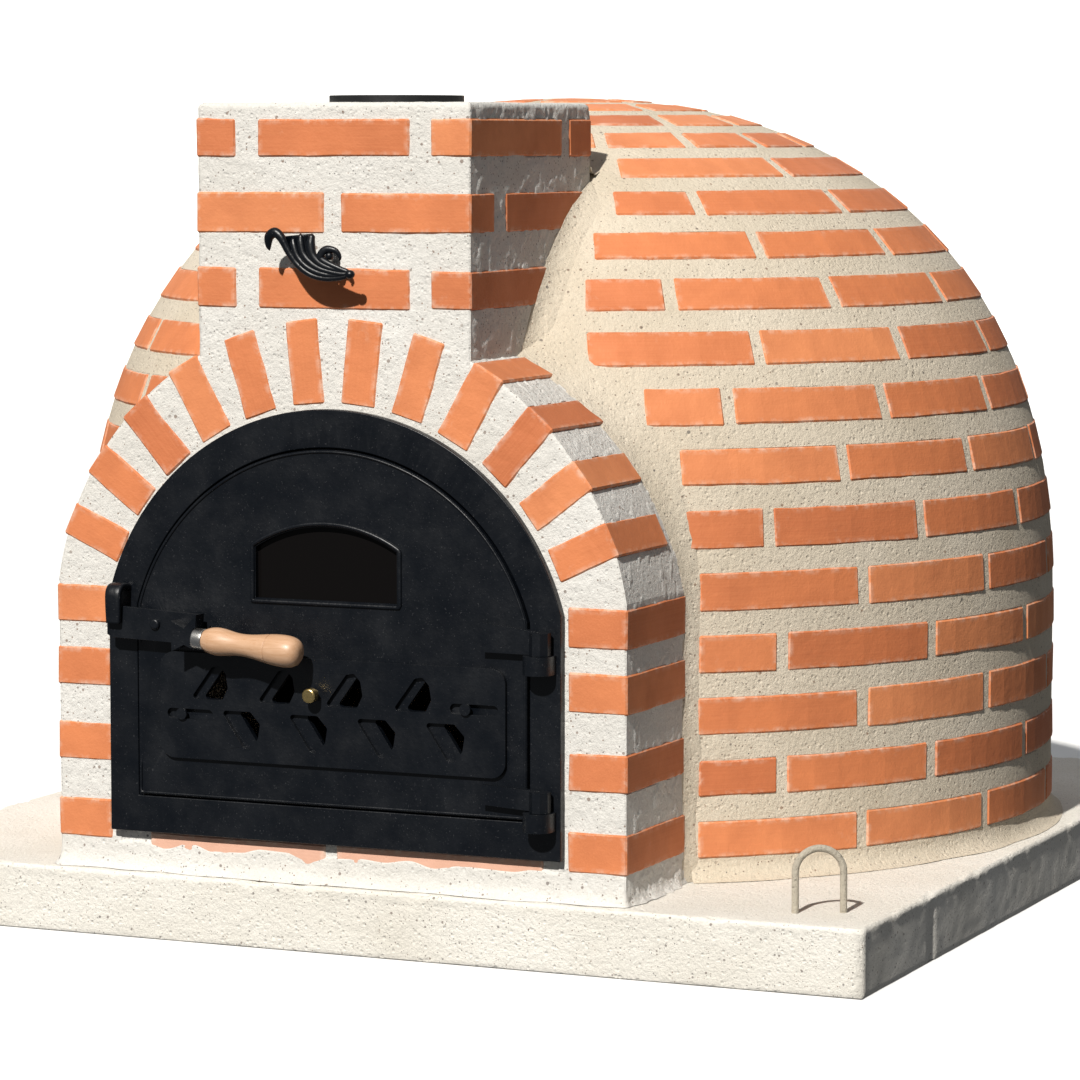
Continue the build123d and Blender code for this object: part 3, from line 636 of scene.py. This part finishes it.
def makeArchBricks():
    stones = []
    centre, near, depth = 0.279, 0.336, 0.165
    lift = oven["faceCentre"] - centre
    for i in range(12):
        a = math.radians(25 + 130 * i / 11)
        far = lift * math.sin(a) + math.sqrt(oven["faceRadius"] ** 2 - (lift * math.cos(a)) ** 2) + 0.0004
        outWay = np.array([math.cos(a), 0, math.sin(a)])
        upWay = np.array([-math.sin(a), 0, math.cos(a)])
        middle = np.array([0, 0, centre]) + outWay * (near + far) / 2
        stones.append(flatStone(middle, outWay, upWay, (far - near) / 2, 0.023, depth))
    return brickPiece("archBricks", stones, "red_brick", ["arch_bricks"], 83)


def makeChimneyBricks():
    # boxes, each from its low to its high corner, taken round the corners
    stones = []
    half, deep, t = oven["chimneyHalf"], oven["chimneyDepth"], 0.042
    for row, z in enumerate((0.7357, 0.8312, 0.9254)):
        mid = z + 0.025
        if row != 1:
            stones.append(flatStone((0.0015, 0, mid), (1, 0, 0), (0, 0, 1), 0.1065, 0.025, t))
            corner, sideEnd, sideNext = 0.137, 0.285, 0.310
        else:
            corner, sideEnd, sideNext = 0.012, 0.072, 0.108
        for side in (1, -1):
            # the stone that turns the corner shows its face in front and its length along the side
            wide = (half - corner) / 2
            stones.append(flatStone((side * (corner + wide), 0, mid), (1, 0, 0), (0, 0, 1), wide, 0.025, sideEnd))
            if row == 2:
                stones.append(flatStone((side * (corner + wide), deep, mid), (-1, 0, 0), (0, 0, 1), wide, 0.025,
                                        deep - sideNext))
            else:
                stones.append(flatStone((side * half, (sideNext + deep) / 2, mid), (0, side, 0), (0, 0, 1),
                                        (deep - sideNext) / 2, 0.025, t))
        if row == 2:
            stones.append(flatStone((0, deep, mid), (-1, 0, 0), (0, 0, 1), 0.107, 0.025, t))
    return brickPiece("chimneyBricks", stones, "red_brick", ["chimney_bricks"], 97)


def makeSillBricks():
    stones = []
    for low, high in ((-0.268, -0.014), (0.002, 0.290)):
        stones.append(flatStone(((low + high) / 2, 0.0005, 0.0275), (1, 0, 0), (0, 0, 1),
                                (high - low) / 2, 0.0245, 0.1))
    return brickPiece("sillTiles", stones, "pale_brick", ["sill_bricks"], 101)


makeDomeMortar()
makeDomeBricks()
makeCrown()
makeColumnBricks()
makeArchBricks()
makeChimneyBricks()
makeSillBricks()
print("dome and bricks ready")


# face mortar

def footFlare(flat):
    # how far the mortar runs out where it meets the slab
    return 0.012 * np.exp(-flat[..., 2].clip(0) / 0.008) * (0.8 + 0.5 * latticeNoise(flat * (1, 1, 0), 0.05, 3))


def openUnderChimney(points, faces):
    # leaves out the faces buried in the chimney, where the flue comes up
    at = points.reshape(-1, 3)
    buried = (np.abs(at[:, 0]) < 0.16) & (at[:, 1] > 0.03) & (at[:, 1] < 0.29) & (at[:, 2] > 0.55)
    return faces[~buried[faces].all(axis=1)].tolist()


def makeNeckMortar():
    # across: from under the iron frame out to the arris, then back along the neck
    face = {"count": 620, "front": 30, "side": 92, "sink": 0.0020, "rough": 0.0009, "torn": 0.0031, "back": 0.235}
    inX, inZ, _, _ = archLine(0.3115, 0.0, 0.279, 0.322, face["count"])
    outX, outZ, wayX, wayZ = archLine(oven["faceHalf"] - 0.0024, 0.0, oven["faceCentre"],
                                      oven["faceRadius"] - 0.0024, face["count"])
    share = np.linspace(0, 1, face["front"])[:, None] ** 0.9
    front = np.stack([inX + share * (outX - inX), 0 * share + 0 * inX + face["sink"], inZ + share * (outZ - inZ)], -1)
    front[-1, :, 1] += 0.0012
    back = np.linspace(0.004, face["back"], face["side"])[:, None]
    side = np.stack([outX + 0 * back, back + 0 * outX, outZ + 0 * back], -1)
    flat = np.concatenate([front, side])
    way = np.concatenate([np.stack([0 * inX + 0 * share, -1 + 0 * inX + 0 * share, 0 * inX + 0 * share], -1),
                          np.stack([wayX + 0 * back, 0 * wayX + 0 * back, wayZ + 0 * back], -1)])
    lift = face["rough"] * crust(flat, 23, 0.04, 0.010)
    lift += np.clip((flat[..., 1] - 0.004) / 0.010, 0, 1) * face["torn"] * pitted(flat, 61)
    lift = np.minimum(lift, 0.0013)
    points = flat + way * (lift + footFlare(flat))[..., None]
    faces = openUnderChimney(points, gridFaces(face["front"] + face["side"], face["count"], flip=True))
    return meshPiece("neckMortar", points, faces, "face_mortar")


def makeSillMortar():
    # the strip under the frame: mortar up to the sill tiles, running out onto the slab
    strip = {"cols": 260, "rows": 22, "top": 0.040, "sink": 0.0020}
    x = np.linspace(-0.330, 0.330, strip["cols"])[None, :]
    z = np.linspace(0, strip["top"], strip["rows"])[:, None]
    flat = np.stack([x + 0 * z, strip["sink"] + 0 * x + 0 * z, z + 0 * x], -1)
    away = np.clip((0.322 - np.abs(flat[..., 0])) / 0.010, 0, 1)
    ragged = 0.006 * latticeNoise(flat * (1, 1, 0), 0.035, 9) * away
    out = 0.0009 * crust(flat, 23, 0.04, 0.010) + footFlare(flat) + 0.0016 * away
    top = np.clip((z - 0.85 * strip["top"]) / (0.15 * strip["top"]), 0, 1)
    flat[..., 2] += ragged * (z / strip["top"])
    flat[..., 1] -= out - 0.006 * top * away
    return meshPiece("sillMortar", flat, gridFaces(strip["rows"], strip["cols"]).tolist(), "face_mortar")


def squareRing(count):
    # directions round a circle, the same pushed out to a square, and each side's outward direction
    turn = np.linspace(0, 2 * math.pi, count, endpoint=False)[None, :]
    wayX, wayY = np.cos(turn), np.sin(turn)
    reach = 1 / np.maximum(np.abs(wayX), np.abs(wayY))
    sideX = np.where(np.abs(wayX) >= np.abs(wayY), np.sign(wayX), 0.0)
    sideY = np.where(np.abs(wayY) > np.abs(wayX), np.sign(wayY), 0.0)
    return wayX, wayY, wayX * reach, wayY * reach, sideX, sideY


def makeChimneyMortar():
    # rows climb the four sides, turn over the rounded top edge and close in on the flue
    stack = {"cols": 560, "rows": 118, "top": 26, "edge": 0.007, "rough": 0.0009, "torn": 0.0031, "foot": 0.655}
    half, deep, top = oven["chimneyHalf"] - 0.0024, oven["chimneyDepth"] - 0.0048, oven["chimneyTop"] - 0.0010
    wayX, wayY, squareX, squareY, sideX, sideY = squareRing(stack["cols"])
    middleY = oven["chimneyDepth"] / 2
    climb = np.linspace(stack["foot"], top - stack["edge"], stack["rows"])[:, None]
    bend = np.linspace(0, math.pi / 2, 5)[1:, None]
    inset = np.concatenate([0 * climb, stack["edge"] * (1 - np.cos(bend))])
    height = np.concatenate([climb, top - stack["edge"] + stack["edge"] * np.sin(bend)])
    x = squareX * (half - inset)
    y = middleY + squareY * (deep / 2 - inset)
    share = np.linspace(0, 1, stack["top"])[1:, None]
    rimX, rimY = 0.0875 * wayX, 0.190 + 0.0875 * wayY
    x = np.concatenate([x, x[-1:] + share * (rimX - x[-1:])])
    y = np.concatenate([y, y[-1:] + share * (rimY - y[-1:])])
    z = np.concatenate([height + 0 * wayX, top + 0 * share + 0 * wayX])
    flat = np.stack([x, y, z], -1)
    upright = np.concatenate([0 * climb, np.sin(bend), 1 + 0 * share])
    way = np.stack([sideX * (1 - upright), sideY * (1 - upright), upright + 0 * wayX], -1)
    lift = stack["rough"] * crust(flat, 31, 0.04, 0.010)
    clear = np.clip((flat[..., 1] - 0.006) / 0.010, 0, 1) * np.clip((top - 0.004 - flat[..., 2]) / 0.010, 0, 1)
    lift += clear * (1 - upright) * stack["torn"] * pitted(flat, 67)
    points = flat + way * np.minimum(lift, 0.0013)[..., None]
    faces = gridFaces(points.shape[0], stack["cols"], wrap=True).tolist()
    return meshPiece("chimneyMortar", points, faces, "face_mortar", replaced=["chimney_cap"])


def cornerFill(name, onWall, corner, onDome, seed, flip, replaced=()):
    # a hollow fillet: a quadratic curve from the wall through the corner to the dome
    t = np.linspace(0, 1, 11)[:, None, None]
    curve = (1 - t) ** 2 * onWall + 2 * t * (1 - t) * corner + t**2 * onDome
    rough = 0.0014 * crust(curve, seed, 0.035, 0.011)
    away = (onWall + onDome) / 2 - corner
    away = away / np.maximum(np.linalg.norm(away, axis=-1, keepdims=True), 1e-9)
    fade = (4 * t * (1 - t))[..., 0]
    sink = 0.0035 * (t[..., 0] ** 8 + (1 - t[..., 0]) ** 8)
    points = curve + away * (rough * fade - sink)[..., None]
    faces = openUnderChimney(points, gridFaces(11, onWall.shape[0], flip=flip))
    return meshPiece(name, points, faces, "dome_mortar", replaced=replaced)


def makeFillets():
    count = 330
    x, z, wayX, wayZ = archLine(oven["faceHalf"] - 0.001, 0.0, oven["faceCentre"], oven["faceRadius"] - 0.001, count)
    grow = 0.016 + 0.034 * np.clip((z - 0.40) / 0.2, 0, 1)
    grow = grow + 0.004 * latticeNoise(np.stack([x, 0 * x, z], -1), 0.08, 5)
    y = domeFrontY(x, z)
    onWall = np.stack([x, y - 0.75 * grow - 0.006, z], -1)
    corner = np.stack([x, y, z], -1)
    farX, farZ = x + wayX * grow, z + wayZ * grow
    onDome = np.stack([farX, domeFrontY(farX, farZ) + 0.001, farZ], -1)
    cornerFill("neckFillet", onWall, corner, onDome, 51, False, ["dome_fillets"])
    half, deep = oven["chimneyHalf"] - 0.001, oven["chimneyDepth"] - 0.001
    for side in (1, -1):
        rise = np.linspace(0.665, 0.960, 110)
        yWall = np.minimum(domeFrontY(half, rise), deep)
        width = 0.030 + 0.004 * latticeNoise(np.stack([rise * 0 + side, yWall, rise], -1), 0.05, 8)
        width = width * np.clip((deep + 0.004 - domeFrontY(half, rise)) / 0.05, 0.05, 1)
        onWall = np.stack([side * half + 0 * rise, yWall - width, rise], -1)
        corner = np.stack([side * half + 0 * rise, yWall, rise], -1)
        onDome = np.stack([side * (half + width), domeFrontY(half + width, rise) + 0.001, rise], -1)
        keep = domeFrontY(half, rise) < deep - 0.001
        cornerFill(f"chimneyFillet{'Right' if side > 0 else 'Left'}", onWall[keep], corner[keep], onDome[keep],
                   57, side > 0)
    x = np.linspace(-half - 0.002, half + 0.002, 110)
    radial = lambda y: np.hypot(x, domeY - y)
    heightAt = lambda y: np.interp(-radial(y), -meridianR, meridianZ)
    onWall = np.stack([x, deep + 0 * x, heightAt(deep) + 0.022], -1)
    corner = np.stack([x, deep + 0 * x, heightAt(deep)], -1)
    onDome = np.stack([x, deep + 0.030 + 0 * x, heightAt(deep + 0.030) - 0.001], -1)
    cornerFill("chimneyFilletBack", onWall, corner, onDome, 59, True)


def makeSkirt():
    # mortar run out onto the slab round the dome's foot
    skirt = {"cols": 620, "rows": 14}
    start = math.asin((oven["faceHalf"] + 0.004) / oven["domeRadius"])
    turn = np.linspace(start, 2 * math.pi - start, skirt["cols"])[None, :]
    t = np.linspace(0, 1, skirt["rows"])[:, None]
    ring = np.stack([np.sin(turn), 0 * turn, np.cos(turn)], -1)
    reach = 0.019 + 0.004 * latticeNoise(ring, 0.12, 2)
    tall = 0.023 + 0.007 * latticeNoise(ring, 0.15, 4)
    r = oven["domeRadius"] - 0.002 + reach * t**1.6
    z = tall * (1 - t) ** 1.6
    flat = np.stack([r * np.sin(turn), domeY - r * np.cos(turn), z], -1)
    flat[..., 2] += 0.0012 * crust(flat, 63, 0.03, 0.010) * (1 - t)
    faces = gridFaces(skirt["rows"], skirt["cols"], flip=True).tolist()
    return meshPiece("domeSkirt", flat, faces, "dome_mortar", replaced=["dome_skirt"])


def makeSlab():
    # rings of a rectangle: in under the slab, up its side, over a chipped arris, in to the middle
    slab = {"cols": 560, "side": 16, "edge": 0.006, "top": 66, "rough": 0.0008, "chip": 0.006}
    low, high = np.array(slabLow), np.array(slabHigh)
    middle, half, thick = (low + high) / 2, (high - low) / 2, high[2] - low[2]
    squareX, squareY, sideX, sideY = squareRing(slab["cols"])[2:]
    edge = slab["edge"]
    bend = np.linspace(0, math.pi / 2, 5)[1:, None]
    climb = np.linspace(0.0015, thick - edge, slab["side"])[:, None]
    spread = (np.linspace(0, 1, slab["top"])[1:, None]) ** 1.7
    inset = np.concatenate([[[half[0]]], [[0.0015]], 0 * climb, edge * (1 - np.cos(bend)),
                            edge + spread * (half[0] - edge)])
    height = np.concatenate([[[0.0]], [[0.0]], climb, thick - edge + edge * np.sin(bend), thick + 0 * spread])
    scaleY = half[1] / half[0]
    x = squareX * (half[0] - inset)
    y = squareY * (half[0] - inset) * scaleY
    flat = np.stack([x, y, height + 0 * x], -1)
    nearEdge = np.exp(-((inset - edge * 0.5) / 0.006) ** 2) * np.exp(-((thick - height) / 0.008) ** 2)
    bite = np.clip(latticeNoise(flat, 0.022, 77) * 0.7 + latticeNoise(flat, 0.008, 78) * 0.5 - 0.18, 0, 1)
    drop = slab["chip"] * bite * nearEdge
    onTop = (height >= thick - 1e-6) * 1.0
    onSide = ((height > 0.001) & (height < thick - edge)) * 1.0
    grain = slab["rough"] * crust(flat, 81, 0.05, 0.014)
    # where two form boards met the side is left with a shallow step
    seam = 0.004 * onSide * np.exp(-((flat[..., 1] + 0.478) / 0.0035) ** 2)
    flat[..., 0] -= sideX * (drop + seam - onSide * (grain - 0.0008))
    flat[..., 1] -= sideY * (drop - onSide * (grain - 0.0008))
    flat[..., 2] += onTop * (grain - 0.0008) - drop
    points = flat + np.array([middle[0], middle[1] - frontY, low[2] - groundZ])
    faces = gridFaces(points.shape[0], slab["cols"], wrap=True).tolist()
    return meshPiece("castSlab", points, faces, "concrete", replaced=["base_slab"], merge=True)


makeNeckMortar()
makeSillMortar()
makeChimneyMortar()
makeFillets()
makeSkirt()
makeSlab()
print("mortar and slab ready")


# iron parts

def closedBead(name, x, z, radius, y, slotName, body, sides=8):
    # a round bead carried along a closed line in the facade's plane
    line = np.stack([x, z], -1)
    ahead, behind = np.roll(line, -1, 0), np.roll(line, 1, 0)
    way = ahead - behind
    way = way / np.linalg.norm(way, axis=1, keepdims=True)
    across = np.stack([way[:, 1], -way[:, 0]], -1)
    turn = np.linspace(0, 2 * math.pi, sides, endpoint=False)[None, :, None]
    flat = line[:, None, :] + radius * np.cos(turn) * across[:, None, :]
    depth = np.reshape(y, (-1, 1)) - radius * np.sin(turn[..., 0]) + 0 * flat[..., 0]
    points = np.stack([flat[..., 0], depth, flat[..., 1]], -1)
    points = np.concatenate([points, points[:1]])
    return meshPiece(name, points, gridFaces(points.shape[0], sides, wrap=True).tolist(), slotName, body, merge=True)


def closedArch(half, foot, centre, radius, count, middle=0.0):
    # the arch line with its foot closed, at even steps
    x, z, _, _ = archLine(half, foot, centre, radius, 400)
    x, z = np.append(x, x[0]), np.append(z, z[0])
    run = np.concatenate([[0], np.cumsum(np.hypot(np.diff(x), np.diff(z)))])
    at = np.linspace(0, run[-1], count, endpoint=False)
    return np.interp(at, run, x) + middle, np.interp(at, run, z)


def sweepTube(path, radii, sides=10, squash=1.0):
    # circles of changing radius along a path, closed at both ends by a small tip
    way = np.gradient(path, axis=0)
    way /= np.linalg.norm(way, axis=1, keepdims=True)
    reference = np.array([0.0, 1.0, 0.0]) if abs(way[0][1]) < 0.9 else np.array([0.0, 0.0, 1.0])
    side = np.cross(way, reference)
    side /= np.linalg.norm(side, axis=1, keepdims=True)
    other = np.cross(side, way)
    turn = np.linspace(0, 2 * math.pi, sides, endpoint=False)[None, :, None]
    ring = np.cos(turn) * side[:, None, :] + squash * np.sin(turn) * other[:, None, :]
    return path[:, None, :] + radii[:, None, None] * ring


def smoothPath(knots, count):
    # a Catmull-Rom curve through the knots
    k = np.array(knots, float)
    k = np.concatenate([[2 * k[0] - k[1]], k, [2 * k[-1] - k[-2]]])
    t = np.linspace(0, len(knots) - 1 - 1e-9, count)
    i = t.astype(int)
    f = (t - i)[:, None]
    a, b, c, d = k[i], k[i + 1], k[i + 2], k[i + 3]
    return 0.5 * (2 * b + (c - a) * f + (2 * a - 5 * b + 4 * c - d) * f**2 + (3 * b - a - 3 * c + d) * f**3)


def tubesPiece(name, tubes, slotName, body, replaced=()):
    points, faces, start = [], [], 0
    for tube in tubes:
        rows, sides = tube.shape[:2]
        faces += gridFaces(rows, sides, wrap=True, start=start).tolist()
        faces += [list(range(start + sides - 1, start - 1, -1)),
                  list(range(start + (rows - 1) * sides, start + rows * sides))]
        points.append(tube.reshape(-1, 3))
        start += rows * sides
    return meshPiece(name, np.concatenate(points), faces, slotName, body, replaced)


def makeDamperLeaf():
    # ribs of a curled leaf that run together at its tip, each (knots as x, z, radius in millimetres)
    ribs = [
        [(-69, 809, 2.0), (-70, 818, 4.6), (-68, 827, 6.4), (-60, 832, 6.6), (-52, 827, 6.0), (-46, 818, 5.2),
         (-39, 806, 4.8), (-27, 791, 4.4), (-11, 780, 4.0), (8, 775, 3.6), (29, 776, 3.4), (44, 780, 3.6)],
        [(-36, 826, 2.6), (-34, 816, 4.6), (-28, 802, 4.6), (-16, 790, 4.2), (1, 782, 3.8), (21, 779, 3.4),
         (44, 781, 3.4)],
        [(-25, 831, 3.0), (-24, 818, 4.8), (-19, 804, 4.6), (-6, 792, 4.3), (10, 785, 3.8), (32, 781, 3.4),
         (44, 782, 3.2)],
        [(-9, 831, 4.0), (-10, 817, 6.2), (-6, 803, 5.6), (5, 793, 4.8), (21, 787, 4.0), (44, 783, 3.2)],
        [(29, 797, 1.4), (30, 803, 2.6), (25, 810, 3.6), (14, 812, 4.6), (7, 808, 5.0), (4, 801, 5.0), (10, 796, 4.6),
         (21, 791, 4.2), (34, 786, 3.6), (44, 783, 3.2)],
    ]
    tubes = []
    for rib in ribs:
        path = smoothPath(rib, 46)
        t = np.linspace(0, 1, 46)
        radii = path[:, 2].clip(0.8) * mm
        radii[[0, 1, -2, -1]] *= np.array([0.25, 0.75, 0.75, 0.25])
        place = np.stack([path[:, 0] * mm, -0.0375 - 0.0035 * np.sin(math.pi * t), path[:, 1] * mm], -1)
        tubes.append(sweepTube(place, radii, 12, 0.85))
    eye = np.stack([np.full(7, 0.0155), np.linspace(-0.043, -0.035, 7), np.full(7, 0.8035)], -1)
    tubes.append(sweepTube(eye, np.array([1.5, 3.6, 4.6, 5.2, 5.4, 5.4, 5.0]) * mm, 14))
    turn = np.linspace(0, math.pi, 9)
    tip = np.stack([0.0435 - 0.0065 * np.cos(turn), 0 * turn - 0.0375, 0.7805 - 0.001 * np.cos(turn)], -1)
    tubes.append(sweepTube(tip, 0.0058 * np.sin(turn).clip(0.05), 12))
    # the web behind the ribs: a thin plate between the lowest and the topmost rib
    low, high = smoothPath(ribs[0][4:], 24) * mm, smoothPath(ribs[3], 24) * mm
    loop = [np.stack([line[:, 0], 0 * line[:, 0] + y, line[:, 1]], -1)
            for line, y in ((low, -0.038), (high, -0.038), (high, -0.034), (low, -0.034))]
    tubes.append(np.stack(loop, 1))
    hub = np.stack([np.zeros(6), np.linspace(-0.038, -0.030, 6), np.full(6, 0.796)], -1)
    tubes.append(sweepTube(hub, np.array([7, 9, 10, 10, 10, 9]) * mm, 18))
    tubesPiece("damperLeaf", tubes, "cast_black", "damper", ["damper_handle"])


def makeKeeper():
    # a flat bar bent into a hook, standing out of the frame and turned down over the bar
    knots = [(-0.297, -0.011, 0.371), (-0.297, -0.022, 0.374), (-0.297, -0.033, 0.3735), (-0.297, -0.0395, 0.366),
             (-0.297, -0.0405, 0.352), (-0.297, -0.0402, 0.338), (-0.297, -0.0402, 0.327)]
    path = smoothPath(knots, 26)
    way = np.gradient(path, axis=0)
    way /= np.linalg.norm(way, axis=1, keepdims=True)
    wide = np.array([1.0, 0.0, 0.0])
    thick = np.cross(way, wide)
    turn = np.linspace(0, 2 * math.pi, 20, endpoint=False)
    boxed = np.stack([np.cos(turn), np.sin(turn)]) / (np.abs(np.cos(turn)) ** 5 + np.abs(np.sin(turn)) ** 5) ** 0.2
    size = 0.0112 * (1 - 0.15 * np.linspace(0, 1, 26) ** 3)
    points = (path[:, None, :] + size[:, None, None] * boxed[0][None, :, None] * wide
              + 0.0042 * boxed[1][None, :, None] * thick[:, None, :])
    tubesPiece("keeperHook", [points], "cast_black", "masonry", ["latch_keeper"])


def makeBeads():
    x, z = closedArch(0.2725, 0.1055, 0.272, 0.2835, 260)
    # the bead sinks where the air slide runs past it
    passing = np.clip((0.082 - np.abs(z - 0.223)) / 0.008, 0, 1) * (x < 0)
    closedBead("leafBead", x, z, 0.0018, -0.0142 + 0.0018 * passing, "cast_black", "door")
    x, z = closedArch(0.1040, 0.3620, 0.271, 0.1930, 160, -0.004)
    closedBead("windowBead", x, z, 0.0030, -0.0142, "cast_black", "door")


easing = {
    "door_frame": 0.0022, "door_leaf": 0.0012, "hinge_straps": 0.0022, "latch_bar": 0.0012,
    "handle_bracket": 0.0012, "slider_plate": 0.0018, "slider_screws": 0.0010, "hearth_tiles": 0.0012,
    "damper_bushes": 0.0006, "flue_collar": 0.0010, "hinge_pins": 0.0012, "hinge_knuckles": 0.0022,
    "handle_grip": 0.0005, "handle_ferrule": 0.0006, "slider_knob": 0.0006, "lifting_loops": 0.0005,
    "latch_pivot": 0.0006,
}
for nodeName, width in easing.items():
    softened(nodeName, width)
makeDamperLeaf()
makeKeeper()
makeBeads()
print("iron parts ready")

# floor
# flat under the oven, turning up into a wall well behind it; it sends no light back onto the oven
cove = {"bend": 2.5, "wallFrom": 7.0, "reach": 16.0, "top": 9.0, "under": 0.0005}
bendTurn = np.linspace(0, math.pi / 2, 25)
floorY = np.concatenate([[-cove["reach"]], cove["wallFrom"] + cove["bend"] * np.sin(bendTurn),
                         [cove["wallFrom"] + cove["bend"]]])
floorZ = np.concatenate([[0.0], cove["bend"] * (1 - np.cos(bendTurn)), [cove["top"]]]) - cove["under"]
floorX = np.array([[-cove["reach"], cove["reach"]]])
floorPoints = np.stack([np.repeat(floorX, len(floorY), 0), np.repeat(floorY[:, None], 2, 1),
                        np.repeat(floorZ[:, None], 2, 1)], -1)
floorMesh = bpy.data.meshes.new("studioFloor")
floorMesh.from_pydata(floorPoints.reshape(-1, 3).tolist(), [], gridFaces(len(floorY), 2).tolist())
floorMesh.polygons.foreach_set("use_smooth", [True] * len(floorMesh.polygons))
floorFinish = Finish("paleFloor")
floorMesh.materials.append(floorFinish.surface(Base_Color=(0.86, 0.86, 0.855), Roughness=0.9))
floor = bpy.data.objects.new("studioFloor", floorMesh)
bpy.context.collection.objects.link(floor)
floor.visible_diffuse = False
floor.visible_glossy = False
